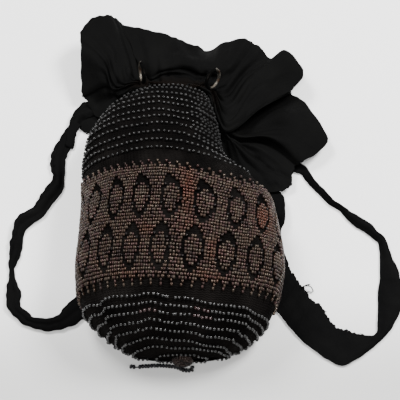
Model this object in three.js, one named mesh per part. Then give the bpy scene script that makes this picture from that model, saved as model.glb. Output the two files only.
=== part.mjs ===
// Reticule: a beaded knit drawstring bag with a silk top and two ribbon straps.
// It lies on its back on a table, mouth towards +Y. Millimetres, +Z up.
import * as THREE from 'three';

// Driving dimensions of the knit bag
const KNIT_WALL = 2;
const FLOOR_SINK = 3; // how far the round underside would dip below the table if it did not lie flat
const BODY_STEPS = 26;
const BODY_SIDES = 42;

// Driving dimensions of the silk and the ribbons
const SILK_THICK = 1;
const RIBBON_THICK = 1.4;
const COLLAR_GAP = 1.9; // between the sewn-in silk and the inside of the knit
const COLLAR_DEPTH = 12; // how far the silk is sewn into the mouth
const MOUTH_TUCK = 1.5; // how far inside the rim the hidden front edge of the silk ends
const MOUTH_STEP = 3; // how far the silk runs on straight out of the mouth before it turns
const SILK_COLUMNS_PER_FOLD = 3;
const SILK_STEPS = 8;
const GATHER_HEIGHT = 1.2;
const GATHER_START = 0.45; // part of the way from inside the mouth to the hem where the gathers begin
const GATHER_FULL = 0.65;
const GATHER_FADE = 0.7; // part of the way where they begin to flatten out
const GATHER_LOSS = 0.6; // share of their height that is gone at the hem
const RIBBON_STEPS_PER_RUNG = 2;

// Driving dimensions of the hard pieces
const RING_RADIUS = 6.5;
const RING_WIRE_RADIUS = 1;
const RING_SIDES = 20;
const KNOB_RADIUS = 6;
const KNOB_LENGTH = 4.2;
const KNOB_SIDES = 14;
const STRAND_RADIUS = 1;
const STRAND_STEPS = 16;
const WIRE_SIDES = 8; // corners round the section of the ring wire and of the bead string

// Turns a table of bare rows into rows with named columns.
function table(columns, rows) {
  return rows.map((row) => Object.fromEntries(columns.map((name, i) => [name, row[i]])));
}

// Cross sections of the bag from the mouth to the bottom end: where the crown of the section lies along Y,
// how far the foot of the section lies behind its crown, the widest places to the left and right,
// the place and height of the crown, the height of the widest places, and how square the section is.
const BODY_SECTIONS = table(
  ['y', 'lean', 'left', 'right', 'peak', 'crown', 'waist', 'square'],
  [
    [69.5, 8, -40, 2, -20, 31, 15, 2.0],
    [62, 5, -52, 6, -24, 35, 17, 2.1],
    [52, 2, -62, 9, -27, 38.5, 18, 2.2],
    [40, 0, -68, 11.5, -28, 41.5, 19, 2.2],
    [27, 0, -71.5, 13, -29, 44, 20, 2.2],
    [15, 0, -72.5, 18, -30, 45.5, 20, 2.2],
    [6, 0, -73, 28, -30, 46, 20, 2.2],
    [-5, 0, -73, 39, -28, 46.5, 20, 2.25],
    [-18, 0, -72.5, 45.5, -25, 47, 20, 2.3],
    [-40, 0, -73, 48.5, -21, 47, 20, 2.5],
    [-60, 0, -73.5, 48.5, -19, 46.5, 20, 2.7],
    [-76, 0, -72.5, 46.5, -18, 45, 19, 2.8],
    [-88, 0, -68, 43, -17, 42, 17, 2.7],
    [-98, 0, -59, 36.5, -15, 36, 13, 2.6],
    [-105, 0, -50, 28, -13, 28, 9.5, 2.5],
    [-109.6, 0, -37, 15, -11, 17.5, 6.5, 2.3],
    [-111.2, 0, -10, -10, -10, 6, 6, 2.0],
  ],
);

// Dents pushed into the upper side of the knit, and one ridge (a negative depth).
const DENTS = table(
  ['x', 'y', 'reachX', 'reachY', 'depth'],
  [
    [17, 14, 8, 9, 4],
    [-60, -90, 5, 14, 2.5],
    [36, -92, 5, 13, 2.5],
    [-27, -96, 6, 16, -1.5],
  ],
);

// Folds of the silk, each a line from the mouth to the hem: its angle round the mouth (0 right, 90 crown,
// 180 left, 270 table side), then a place near the mouth, one half way and one on the hem.
const SILK_FOLDS = table(
  ['turn', 'nearX', 'nearY', 'nearZ', 'midX', 'midY', 'midZ', 'hemX', 'hemY', 'hemZ'],
  [
    [146, -32.5, 75, 22, -33, 76, 22.3, -34, 77, 22.6],
    [156, -40.5, 76, 21.5, -44, 77, 20, -48, 77, 18],
    [163, -42, 77, 19.5, -52, 76, 13, -62, 70, 8],
    [168, -42.5, 78, 18.5, -55.5, 75.5, 10, -69.5, 68.5, 5],
    [173, -42.5, 79, 17.5, -59.5, 79, 13, -76, 75, 6.5],
    [178, -42.5, 80, 16.5, -62, 82, 16, -79, 80, 8],
    [184, -42.5, 81, 16, -64, 90, 19, -81, 103, 16],
    [190, -42, 82, 15.5, -64.5, 100, 20, -83, 122, 22],
    [197, -41, 83.5, 15, -60, 106, 20, -73, 130, 23],
    [204, -40, 85, 14.5, -54, 110, 17, -63, 141, 19],
    [211, -38, 86.5, 13, -46, 110, 12, -58, 141, 11],
    [224, -32, 87, 7, -34, 95, 11.5, -40, 130, 14],
    [240, -25, 87.5, 3.5, -26, 99, 12.5, -26, 127, 10],
    [256, -18, 87.5, 2.5, -16, 101.5, 13, -14, 125, 9],
    [272, -11, 87, 2.5, -6, 100.5, 13, -3, 121.5, 7],
    [286, -4, 85.5, 3.5, 2, 97, 13, 5, 119.5, 4],
    [298, 1, 84, 7, 10, 97, 13, 17.5, 121.5, 11],
    [308, 4, 82.5, 9.5, 18, 97, 13.5, 31, 122, 15],
    [316, 6, 81, 11, 25, 96, 12, 41, 119.5, 11],
    [323, 7, 80, 11.5, 32, 94, 9.5, 51, 113, 4.5],
    [330, 7.5, 79, 12, 37, 92, 12.5, 61, 114, 12],
    [336, 8, 78.3, 12.5, 41, 83, 14, 71, 94, 14],
    [341, 8, 77.7, 12.5, 40, 70, 14, 62, 82, 12],
    [345, 8, 77.2, 11.5, 37.5, 65, 5, 62, 83, 4],
    [349, 8, 76.8, 11.5, 52, 61, 9, 70, 77, 6],
    [354, 8, 76.3, 12, 58, 48, 9.5, 84, 43, 8],
    [359, 8, 75.9, 12.5, 46, 42, 11, 65, 26.5, 5],
    [363, 7.5, 75.5, 12, 40, 42, 4.8, 62, 24, 3.5],
    [367, 7.5, 75.2, 13.5, 36, 33, 13, 59, 17, 7],
    [371, 6.2, 75, 14.5, 32, 31, 11, 57.5, 8.5, 4.6],
    [375, 5.8, 75, 15.5, 27, 32, 9, 50, 4.5, 4.3],
    [380, 5.2, 75, 16.5, 22, 37, 8.5, 38, 7, 3],
    [385, 4.6, 75, 17.5, 17, 45, 8, 27, 12.5, 3],
    [390, 4.2, 75, 18.5, 13.5, 51, 9, 17.5, 22, 3],
    [394, 3.6, 75, 19.5, 11.5, 58, 10, 12.5, 36, 3.5],
    [398, 2.8, 75, 20.5, 9.5, 65, 13, 9.5, 50, 5],
    [402, 1.6, 75, 21.5, 8, 70.5, 16, 8, 62, 8],
    [406, -0.5, 74.8, 23, 4.5, 74, 20.5, 6.5, 71, 15],
    [412, -8, 74.2, 24.2, -7.4, 75, 24.3, -6.8, 75.6, 24.4],
  ],
);

// Angles of the folds at the front of the mouth, where the silk stays tucked inside,
// and how the points of such a fold are spread from its deep end to its edge.
const TUCKED_TURNS = [420, 435, 450, 465, 478, 490];
const TUCKED_PARTS = [0.5, 0.35, 0.2, 0.1, 0];

// Rungs across the ribbons: both edges of the ribbon with the height of its lower face,
// and how far its middle curls up.
const RIBBON_COLUMNS = ['ax', 'ay', 'az', 'bx', 'by', 'bz', 'curl'];
const LEFT_RUNGS = table(RIBBON_COLUMNS, [
  [-66, 76, 3, -62.5, 67.5, 2.4, 0.4],
  [-70, 76, 2.8, -66, 67, 2.2, 0.4],
  [-77, 74.5, 2.4, -72.7, 65, 2, 0.6],
  [-86, 65, 1.6, -80.6, 60.5, 0.4, 1],
  [-89, 55.5, 1.2, -82.2, 53, 0, 1],
  [-94, 41.7, 0.8, -85.8, 38.5, 0, 1],
  [-97, 31, 0.5, -88, 31, 0, 1],
  [-97, 22, 0.4, -88, 21, 0, 1],
  [-95.2, 15.5, 0.4, -87.6, 10, 0, 0.8],
  [-98.2, 6.3, 0.4, -89.7, 3.5, 0, 0.8],
  [-102, -1.2, 0.4, -94.2, -4, 0, 0.8],
  [-107, -8.7, 0.8, -98.5, -12.6, 0, 0.8],
  [-115.2, -14.5, 2, -106.7, -20.2, 0, 0.6],
  [-116.7, -24, 2, -110.4, -26.7, 0, 0.6],
  [-117.7, -34, 1, -110, -37, 0, 0.8],
  [-117.5, -44, 2, -112, -46, 0, 0.6],
  [-116.2, -54, 4, -113.3, -52.5, 0, 0.3],
  [-116.3, -63.5, 1, -110, -62, 0, 0.6],
  [-116.3, -70.2, 0.3, -107.5, -68.2, 0, 0.8],
  [-113.6, -78, 0.3, -107.7, -74.6, 0, 0.8],
  [-108.2, -84, 0, -102, -79.7, 0.4, 0.8],
  [-100.5, -88, 0, -98.5, -83.5, 1.6, 0.6],
  [-91, -90.4, 0, -90.8, -84.2, 1.6, 0.6],
  [-82.4, -89.7, 0, -85.2, -82.5, 0.8, 0.8],
  [-73.8, -86, 0, -79.7, -77.5, 0.2, 0.6],
  [-66.4, -80, 0, -73.1, -70.5, 0, 0.3],
  [-62, -66, 0, -70.5, -62, 0, 0],
  [-60.5, -40, 0, -70, -40, 0, 0],
  [-60.5, 0, 0, -70, 0, 0, 0],
  [-61, 36, 0, -70.5, 38, 0, 0],
  [-63.5, 52, 0, -74, 55, 0, 0],
  [-61, 62, 0, -68, 69, 0, 0],
]);
const RIGHT_RUNGS = table(RIBBON_COLUMNS, [
  [57, 30.5, 0.6, 55.5, 25, 0.6, 0.2],
  [64.5, 26.5, 0.6, 62.5, 20.5, 0.3, 0.2],
  [68.2, 22, 2.2, 65.7, 19.3, 0, 0.3],
  [71.6, 13.8, 3.2, 69.2, 13, 0, 0.3],
  [78.2, 6, 3.2, 75.7, 4.6, 0, 0.3],
  [85, -3, 3.2, 82.8, -4.4, 0, 0.3],
  [90.6, -6.8, 3, 88.2, -8.2, 0, 0.3],
  [95.9, -11.2, 2.5, 93.1, -15.4, 0, 0.6],
  [101.7, -16.4, 2.5, 97.8, -20.6, 0, 0.6],
  [106.4, -20.2, 2.5, 103.6, -24.8, 0, 0.6],
  [109.8, -25.6, 2.5, 107.8, -29, 0, 0.4],
  [114.4, -29.5, 2, 110.8, -32.6, 0, 0.5],
  [115.7, -35.6, 1.4, 111, -37.6, 0, 0.8],
  [117.5, -43.4, 0.8, 110.3, -46, 0, 1],
  [121.2, -53, 0.3, 109.2, -57, 0, 1],
  [121.7, -65, 0, 107.7, -66.2, 0, 0.8],
  [119.7, -77, 0, 106.6, -77, 0, 0.8],
  [113.7, -88.4, 0, 105.4, -86, 0.3, 0.8],
  [107, -96.2, 0, 104, -92, 0.4, 0.6],
  [98.7, -103.2, 0, 100.2, -94.6, 0.4, 0.6],
  [90.1, -109.4, 0, 94.6, -93.8, 0.3, 0.6],
  [81.7, -113, 0, 88.1, -91.6, 0.2, 0.6],
  [74.8, -110, 0, 82.3, -90, 0.2, 0.6],
  [68.2, -105, 0, 77.3, -85.6, 0.2, 0.6],
  [61.6, -99.4, 0, 72.4, -78, 0.2, 0.6],
  [55.5, -92.5, 0, 65.8, -71.3, 0.2, 0.6],
  [49.5, -84, 0, 60.3, -63.3, 0.2, 0.6],
  [44, -75, 0, 55.2, -53, 0.2, 0.6],
  [41, -62, 0, 52.8, -41.8, 0.4, 0.6],
  [40.5, -46, 0, 51.2, -33, 1.2, 0.4],
  [43.5, -29, 0, 50.5, -24, 4, 0.3],
  [48, -14, 0.5, 53.4, -13, 6.5, 0.3],
  [48.5, -3, 0.6, 53.6, -3, 5, 0.3],
  [46, 6, 0.8, 51, 6, 1.2, 0.2],
  [43.5, 14, 1, 48, 15, 1, 0.2],
  [41, 21, 2.6, 45, 22.5, 2.6, 0],
]);

// Places of the small pieces
const RINGS = table(
  ['name', 'x', 'y', 'z', 'turn', 'lean'],
  [
    ['ring_left', -38.7, 85.5, 24, 14, 8],
    ['ring_right', 8.7, 82, 21.4, -38, -12],
  ],
);
const KNOB_PLACE = new THREE.Vector3(-10, -111.7, 6.4);
const STRAND_ROUTE = [
  [-4.6, -114, 3.2],
  [-4.6, -116.2, 1.3],
  [-8.8, -117, 1],
  [-13.2, -115.4, 1],
  [-21.3, -114.6, 1],
  [-31.2, -115, 1],
  [-36.8, -115.6, 1],
  [-40.4, -115, 1],
];

// A smooth curve through given values that never swings past them (a monotone cubic).
function smoothCurve(places, values) {
  const last = places.length - 1;
  const spans = places.slice(1).map((place, i) => place - places[i]);
  const slopes = spans.map((span, i) => (values[i + 1] - values[i]) / span);
  const tangents = values.map((value, i) => {
    if (i === 0) return slopes[0];
    if (i === last) return slopes[last - 1];
    if (slopes[i - 1] * slopes[i] <= 0) return 0;
    const before = 2 * spans[i] + spans[i - 1];
    const after = spans[i] + 2 * spans[i - 1];
    return (before + after) / (before / slopes[i - 1] + after / slopes[i]);
  });
  return (place) => {
    let i = 0;
    while (i < last - 1 && place > places[i + 1]) i += 1;
    const span = spans[i];
    const t = THREE.MathUtils.clamp((place - places[i]) / span, 0, 1);
    const u = 1 - t;
    return (1 + 2 * t) * u * u * values[i] + t * u * u * span * tangents[i]
      + t * t * (3 - 2 * t) * values[i + 1] - t * t * u * span * tangents[i + 1];
  };
}

// Running distances along a row of places.
function runningLengths(items, distance) {
  const lengths = [0];
  for (let i = 1; i < items.length; i += 1) {
    lengths.push(lengths[i - 1] + distance(items[i - 1], items[i]));
  }
  return lengths;
}

// One smooth curve for each named column of a table.
function smoothColumns(rows, places) {
  const curves = {};
  for (const name of Object.keys(rows[0])) {
    curves[name] = smoothCurve(places, rows.map((row) => row[name]));
  }
  return curves;
}

// Places along the bag are distances from the mouth, about as the knit itself runs.
function sectionDistance(a, b) {
  const side = (b.left - a.left) ** 2 / 2 + (b.right - a.right) ** 2 / 2;
  return Math.sqrt((b.y - a.y) ** 2 + (b.crown - a.crown) ** 2 + side);
}

const BODY_PLACES = runningLengths(BODY_SECTIONS, sectionDistance);
const BODY_LENGTH = BODY_PLACES[BODY_PLACES.length - 1];
const BODY = smoothColumns(BODY_SECTIONS, BODY_PLACES);

// How far the dents push the knit down at one place of its upper side.
function dentDepth(x, y) {
  let depth = 0;
  for (const dent of DENTS) {
    const acrossX = (x - dent.x) / dent.reachX;
    const acrossY = (y - dent.y) / dent.reachY;
    depth += dent.depth * Math.exp(-acrossX * acrossX - acrossY * acrossY);
  }
  return depth;
}

// A point on the outside of the bag: a round section with a square touch, flat where it lies on the table.
function bodyPoint(place, angle) {
  const power = 2 / BODY.square(place);
  const peak = BODY.peak(place);
  const crown = BODY.crown(place);
  const waist = BODY.waist(place);
  const cos = Math.cos(angle);
  const sin = Math.sin(angle);
  const reach = cos > 0 ? BODY.right(place) - peak : BODY.left(place) - peak;
  const x = peak + reach * Math.abs(cos) ** power;
  const rise = Math.abs(sin) ** power;
  const y = BODY.y(place);
  const z = sin > 0 ? waist + (crown - waist - dentDepth(x, y)) * rise : waist - (waist + FLOOR_SINK) * rise;
  const height = Math.max(z, 0);
  return new THREE.Vector3(x, y + BODY.lean(place) * (1 - height / crown), height);
}

// The normals of a grid of points, from the lines along and across it.
function gridNormals(grid, wraps) {
  const lastRow = grid.length - 1;
  const columns = grid[0].length;
  return grid.map((row, i) => row.map((point, j) => {
    const before = wraps ? (j + columns - 1) % columns : Math.max(j - 1, 0);
    const after = wraps ? (j + 1) % columns : Math.min(j + 1, columns - 1);
    const down = new THREE.Vector3().subVectors(grid[Math.min(i + 1, lastRow)][j], grid[Math.max(i - 1, 0)][j]);
    const across = new THREE.Vector3().subVectors(row[after], row[before]);
    return across.cross(down).normalize();
  }));
}

// Moves each point of a grid along its normal.
function offsetGrid(grid, normals, distance) {
  return grid.map((row, i) => row.map((point, j) => point.clone().addScaledVector(normals[i][j], distance)));
}

// A closed mesh between an upper and a lower grid of points. The columns run round a ring where it wraps,
// and the end row closes to a point where it is pointed.
function closedSheet(upper, lower, { wraps = false, pointed = false } = {}) {
  const corners = [];
  const triangle = (a, b, c) => {
    const flat = a.equals(b) || b.equals(c) || c.equals(a);
    if (!flat) corners.push(a, b, c);
  };
  const quad = (a, b, c, d) => {
    triangle(a, b, c);
    triangle(a, c, d);
  };
  const rows = upper.length - 1;
  const columns = upper[0].length;
  const strips = wraps ? columns : columns - 1;
  for (let j = 0; j < strips; j += 1) {
    const k = (j + 1) % columns;
    for (let i = 0; i < rows; i += 1) {
      quad(upper[i][j], upper[i][k], upper[i + 1][k], upper[i + 1][j]);
      quad(lower[i][j], lower[i + 1][j], lower[i + 1][k], lower[i][k]);
    }
    quad(upper[0][j], lower[0][j], lower[0][k], upper[0][k]);
    if (!pointed) quad(upper[rows][j], upper[rows][k], lower[rows][k], lower[rows][j]);
  }
  if (!wraps) {
    const end = columns - 1;
    for (let i = 0; i < rows; i += 1) {
      quad(upper[i][0], upper[i + 1][0], lower[i + 1][0], lower[i][0]);
      quad(upper[i][end], lower[i][end], lower[i + 1][end], upper[i + 1][end]);
    }
  }
  return new THREE.BufferGeometry().setFromPoints(corners);
}

// The grid of points on the outside of the knit, from the mouth to the bottom end.
function bodyGrid() {
  const grid = [];
  for (let i = 0; i <= BODY_STEPS; i += 1) {
    const row = [];
    for (let j = 0; j < BODY_SIDES; j += 1) {
      row.push(bodyPoint((BODY_LENGTH * i) / BODY_STEPS, (2 * Math.PI * j) / BODY_SIDES));
    }
    grid.push(row);
  }
  return grid;
}

// Normals of the bag, with one shared normal at the bottom end.
function bodyNormals(grid) {
  const normals = gridNormals(grid, true);
  normals[BODY_STEPS] = normals[BODY_STEPS].map(() => new THREE.Vector3(0, -1, 0));
  return normals;
}

// The knit bag: an open hollow wall.
function bodyGeometry() {
  const outside = bodyGrid();
  const inside = offsetGrid(outside, bodyNormals(outside), -KNIT_WALL);
  return closedSheet(outside, inside, { wraps: true, pointed: true });
}

// A point inside the bag, so deep under its outer face. The slope of the face is felt out by small steps.
function insidePoint(place, angle, depth) {
  const step = 0.5;
  const turn = 0.02;
  const along = bodyPoint(place + step, angle).sub(bodyPoint(place, angle));
  const across = bodyPoint(place, angle + turn).sub(bodyPoint(place, angle - turn));
  const normal = across.cross(along).normalize();
  return bodyPoint(place, angle).addScaledVector(normal, -depth);
}

// The line of one fold of the silk, from inside the mouth out to the hem.
function foldLine(fold) {
  const angle = THREE.MathUtils.degToRad(fold.turn);
  const depth = KNIT_WALL + COLLAR_GAP + SILK_THICK / 2;
  const start = insidePoint(COLLAR_DEPTH, angle, depth);
  if (fold.tucked) {
    const places = TUCKED_PARTS.map((part) => MOUTH_TUCK + part * (COLLAR_DEPTH - MOUTH_TUCK));
    return [start, ...places.map((place) => insidePoint(place, angle, depth))];
  }
  const rim = insidePoint(0, angle, depth);
  const out = rim.clone().sub(insidePoint(MOUTH_STEP, angle, depth)).add(rim);
  return [
    start,
    rim,
    out,
    new THREE.Vector3(fold.nearX, fold.nearY, fold.nearZ),
    new THREE.Vector3(fold.midX, fold.midY, fold.midZ),
    new THREE.Vector3(fold.hemX, fold.hemY, fold.hemZ),
  ];
}

// All folds round the mouth, with the looseness of each: 0 where it is tucked in.
function allFolds() {
  const loose = SILK_FOLDS.map((fold) => ({ points: foldLine(fold), loose: 1 }));
  const tucked = TUCKED_TURNS.map((turn) => ({ points: foldLine({ turn, tucked: true }), loose: 0 }));
  return [...loose, ...tucked];
}

// Smooth lines between the folds, so many to each fold, round the whole mouth.
function silkLines() {
  const folds = allFolds();
  const overlap = 3;
  const padded = [...folds.slice(-overlap), ...folds, ...folds.slice(0, overlap)];
  const places = padded.map((fold, i) => i - overlap);
  const looseness = smoothCurve(places, padded.map((fold) => fold.loose));
  const curves = folds[0].points.map((point, k) => ['x', 'y', 'z'].map(
    (axis) => smoothCurve(places, padded.map((fold) => fold.points[k][axis])),
  ));
  const lines = [];
  for (let j = 0; j < folds.length * SILK_COLUMNS_PER_FOLD; j += 1) {
    const place = j / SILK_COLUMNS_PER_FOLD;
    const points = curves.map((curve) => new THREE.Vector3(...curve.map((axis) => axis(place))));
    lines.push({ path: new THREE.CatmullRomCurve3(points, false, 'centripetal'), loose: looseness(place) });
  }
  return lines;
}

// How high the gathers stand at one step from the mouth to the hem: none in the collar, most near the mouth.
function gatherHeight(part) {
  const rise = THREE.MathUtils.smoothstep(part, GATHER_START, GATHER_FULL);
  const fall = 1 - GATHER_LOSS * THREE.MathUtils.smoothstep(part, GATHER_FADE, 1);
  return GATHER_HEIGHT * rise * fall;
}

// The silk top: a thick sheet round the mouth, gathered into it and spread to its hem.
function silkGeometry() {
  const lines = silkLines();
  const grid = [];
  for (let i = 0; i <= SILK_STEPS; i += 1) {
    grid.push(lines.map((line) => line.path.getPoint(i / SILK_STEPS)));
  }
  const normals = gridNormals(grid, true);
  const gathered = grid.map((row, i) => row.map((point, j) => {
    const wave = lines[j].loose * Math.cos((2 * Math.PI * j) / SILK_COLUMNS_PER_FOLD);
    return point.clone().addScaledVector(normals[i][j], wave * gatherHeight(i / SILK_STEPS));
  }));
  const faces = gridNormals(gathered, true);
  const half = SILK_THICK / 2;
  return closedSheet(offsetGrid(gathered, faces, half), offsetGrid(gathered, faces, -half), { wraps: true });
}

// A ribbon through its rungs, three points across, curled and as thick as its folded cloth.
function ribbonGeometry(rungs) {
  const middle = (rung) => new THREE.Vector3(rung.ax + rung.bx, rung.ay + rung.by, 0).multiplyScalar(0.5);
  const places = runningLengths(rungs, (a, b) => middle(a).distanceTo(middle(b)));
  const curves = smoothColumns(rungs, places);
  const half = RIBBON_THICK / 2;
  const grid = [];
  for (let i = 0; i < rungs.length - 1; i += 1) {
    const last = i === rungs.length - 2;
    for (let k = 0; k < RIBBON_STEPS_PER_RUNG + (last ? 1 : 0); k += 1) {
      const place = THREE.MathUtils.lerp(places[i], places[i + 1], k / RIBBON_STEPS_PER_RUNG);
      const a = new THREE.Vector3(curves.ax(place), curves.ay(place), curves.az(place) + half);
      const b = new THREE.Vector3(curves.bx(place), curves.by(place), curves.bz(place) + half);
      const centre = a.clone().lerp(b, 0.5).add(new THREE.Vector3(0, 0, curves.curl(place)));
      grid.push([a, centre, b]);
    }
  }
  const normals = gridNormals(grid, false);
  return closedSheet(offsetGrid(grid, normals, half), offsetGrid(grid, normals, -half));
}

// A ring of round wire, standing on edge.
function ringGeometry() {
  return new THREE.TorusGeometry(RING_RADIUS, RING_WIRE_RADIUS, WIRE_SIDES, RING_SIDES);
}

// The bead knob at the bottom end: a low dome with a flat back, pointing along -Y.
function knobGeometry() {
  const profile = [new THREE.Vector2(0, 0)];
  const arcs = 5;
  for (let i = 0; i <= arcs; i += 1) {
    const angle = (Math.PI / 2) * (i / arcs);
    const radius = i === arcs ? 0 : KNOB_RADIUS * Math.cos(angle);
    profile.push(new THREE.Vector2(radius, KNOB_LENGTH * Math.sin(angle)));
  }
  return new THREE.LatheGeometry(profile, KNOB_SIDES);
}

// The string of seed beads as one plain tube.
function strandGeometry() {
  const section = new THREE.Shape(Array.from({ length: WIRE_SIDES }, (unused, i) => {
    const angle = (2 * Math.PI * (i + 0.5)) / WIRE_SIDES;
    return new THREE.Vector2(STRAND_RADIUS * Math.cos(angle), STRAND_RADIUS * Math.sin(angle));
  }));
  const route = new THREE.CatmullRomCurve3(STRAND_ROUTE.map((place) => new THREE.Vector3(...place)));
  return new THREE.ExtrudeGeometry(section, { steps: STRAND_STEPS, extrudePath: route, bevelEnabled: false });
}

// A named mesh with its own material.
function piece(name, geometry, color, roughness, metalness) {
  const mesh = new THREE.Mesh(geometry, new THREE.MeshStandardMaterial({ color, roughness, metalness }));
  mesh.name = name;
  return mesh;
}

const bag = new THREE.Group();
bag.add(piece('beaded_body', bodyGeometry(), 0x2a2422, 0.6, 0.1));
bag.add(piece('silk_top', silkGeometry(), 0x17171a, 0.75, 0));
bag.add(piece('strap_left', ribbonGeometry(LEFT_RUNGS), 0x1a1a1c, 0.7, 0));
bag.add(piece('strap_right', ribbonGeometry(RIGHT_RUNGS), 0x1a1a1c, 0.7, 0));

for (const place of RINGS) {
  const ring = piece(place.name, ringGeometry(), 0x8f8470, 0.45, 0.9);
  ring.position.set(place.x, place.y, place.z);
  ring.rotation.order = 'ZYX';
  ring.rotation.y = THREE.MathUtils.degToRad(90 + place.lean);
  ring.rotation.z = THREE.MathUtils.degToRad(place.turn);
  bag.add(ring);
}

const knob = piece('tassel_knob', knobGeometry(), 0x5a463c, 0.45, 0.4);
knob.position.copy(KNOB_PLACE);
knob.rotation.set(Math.PI, 0, 0);
bag.add(knob);

bag.add(piece('bead_strand', strandGeometry(), 0x14141a, 0.25, 0));

// The origin is the middle of the bag's outline, on the table.
const box = new THREE.Box3().setFromObject(bag);
const centre = box.getCenter(new THREE.Vector3());
bag.position.set(-centre.x, -centre.y, -box.min.z);

const reticule = new THREE.Group();
reticule.add(bag);

export default reticule;
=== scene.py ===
"""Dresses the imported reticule: knit with seed beads, silk top, ribbons, rings, bead knob and bead string.

Tables are in millimetres as the bag lies on the table, mouth towards +Y. The scene is in metres.
"""
import math

import bpy
import numpy as np
from mathutils import Matrix, Vector


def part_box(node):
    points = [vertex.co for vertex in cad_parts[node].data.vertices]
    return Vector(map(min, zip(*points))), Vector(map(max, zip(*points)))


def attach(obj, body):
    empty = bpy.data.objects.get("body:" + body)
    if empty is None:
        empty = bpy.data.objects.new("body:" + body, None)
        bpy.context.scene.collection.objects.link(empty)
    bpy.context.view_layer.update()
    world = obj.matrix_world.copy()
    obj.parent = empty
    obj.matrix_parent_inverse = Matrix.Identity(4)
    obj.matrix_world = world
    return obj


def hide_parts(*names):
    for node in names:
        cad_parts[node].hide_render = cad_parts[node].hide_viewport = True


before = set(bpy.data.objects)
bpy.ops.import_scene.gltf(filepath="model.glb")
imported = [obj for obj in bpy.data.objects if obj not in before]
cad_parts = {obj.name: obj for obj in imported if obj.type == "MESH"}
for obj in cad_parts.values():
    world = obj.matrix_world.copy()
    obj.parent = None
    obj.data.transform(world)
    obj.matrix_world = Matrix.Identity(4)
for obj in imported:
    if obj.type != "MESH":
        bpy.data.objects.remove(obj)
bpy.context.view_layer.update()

MM = 0.001
RANDOM = np.random.default_rng(7)
CLEARANCE = 0.05  # cloth and threads stay this far above the table

# Knit bag
FLOOR_SINK = 3  # how far the round underside would dip below the table if it did not lie flat
KNIT_WALL = 1.8
KNIT_INSET = 0.7  # the knit lies this far inside the bead tops
KNIT_END = 0.6  # it ends this far short of the tip of the foot
KNIT_ROWS = 200
KNIT_COLUMNS = 240
UNDERSIDE = 1.2  # height of the knit where it rests on its beads
RIDGE_HEIGHT = 0.5  # the knit stands out in a ridge under each row of beads
RIDGE_WIDTH = 1.7
STITCH_WIDTH = 2.1
STITCH_LENGTH = 1.5
STITCH_SLANT = 0.35
KNIT_FOOT_LIGHT = 0.4  # painted light: how much paler it is painted towards the foot
ONCE_ROUND = (-math.pi / 2, 3 * math.pi / 2)  # angles round the bag from the middle of its underside
GIRTH_STEPS = 720
FEELER = 0.5  # steps with which directions on the surface are felt out
ANGLE_FEELER = 0.02

# Seed beads
BEAD_SIDES = 8
BEAD_LIFT = 0.5  # how far a bead's middle stands off the knit, in shares of its radius
BEAD_TILT = 0.004  # how unevenly the beads sit on their thread
BEAD_SPREAD = 0.05  # how unlike they are in size
UPPER_BEAD_PITCH = 3.0
LOWER_BEAD_PITCH = 2.5
ROW_BEAD_LENGTH = 1.6
ROW_BEAD_RADIUS = 0.9
ROW_STRAY = (0.004, 0.2)  # how far single beads stray, in angle and along the bag
BAND_COLUMNS = 204
BAND_PIECES = 3
BAND_TOP = -1.2
BAND_BOTTOM = -82.2
BAND_SHIFT = -3.5  # turns the pattern round the bag, in columns
BAND_BEAD_FILL = 0.98  # share of its column that a bead fills
BAND_BEAD_RADIUS = 1.12
BAND_STRAY = (0.002, 0.12)
UPPER_SIDE = 20  # patches of colour reach only beads above this height

# How rough the beads are, from the glossiest to the dullest
UPPER_DULL = (0.14, 0.55)
LOWER_DULL = (0.08, 0.4)
BAND_DULL = (0.22, 0.7)
KNOB_DULL = (0.2, 0.5)
STRAND_DULL = (0.12, 0.6)
DUST_DULL = 0.95
DUST_COVER = 0.85  # how far the mask of dusting and painted shade makes a bead dull
DUST_AND_SHADE_DARKENING = 0.7  # how far that mask darkens a bead, with painted shade in the fold by the mouth among it

# Bead materials: how metallic and how glossy
BEAD_GLOSS = {
    "steel_beads": (0.0, 0.28),
    "bright_steel_beads": (0.0, 0.58),
    "bronze_beads": (0.7, 0.45),
    "black_beads": (0.0, 0.27),
}

# Tones of the beads, and how common they are
ROW_TONES = np.array([(0.008, 0.0076, 0.0073), (0.0035, 0.0033, 0.0031), (0.0016, 0.0015, 0.0015)])
ROW_TONE_SHARES = [0.4, 0.4, 0.2]
RED_TONE = np.array((0.016, 0.0035, 0.0035))
RED_SPREAD = (0.6, 1.3)
RED_FROM = 0.45  # a bead is red where its share of a red patch, times chance, is over this
BAND_TONES = np.array([
    (0.0388, 0.0284, 0.0206),
    (0.0318, 0.019, 0.0127),
    (0.0308, 0.0157, 0.0137),
    (0.0158, 0.0087, 0.0073),
])
BAND_TONE_SHARES = [0.28, 0.32, 0.26, 0.14]
BAND_SHADES = (0.75, 1.2)  # of its darker and lighter streaks
DARK_TONE = np.array((0.004, 0.0022, 0.002))
RUST_TONE = np.array((0.061, 0.0162, 0.0068))
RUST_SPREAD = (0.45, 1.0)
KNOB_TONES = np.array([(0.026, 0.0165, 0.0135), (0.0145, 0.0082, 0.0068), (0.007, 0.004, 0.0035)])
STRAND_TONE = np.array((0.0022, 0.0023, 0.0032))
STRAND_TONE_SPREAD = (0.6, 2.2)

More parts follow.
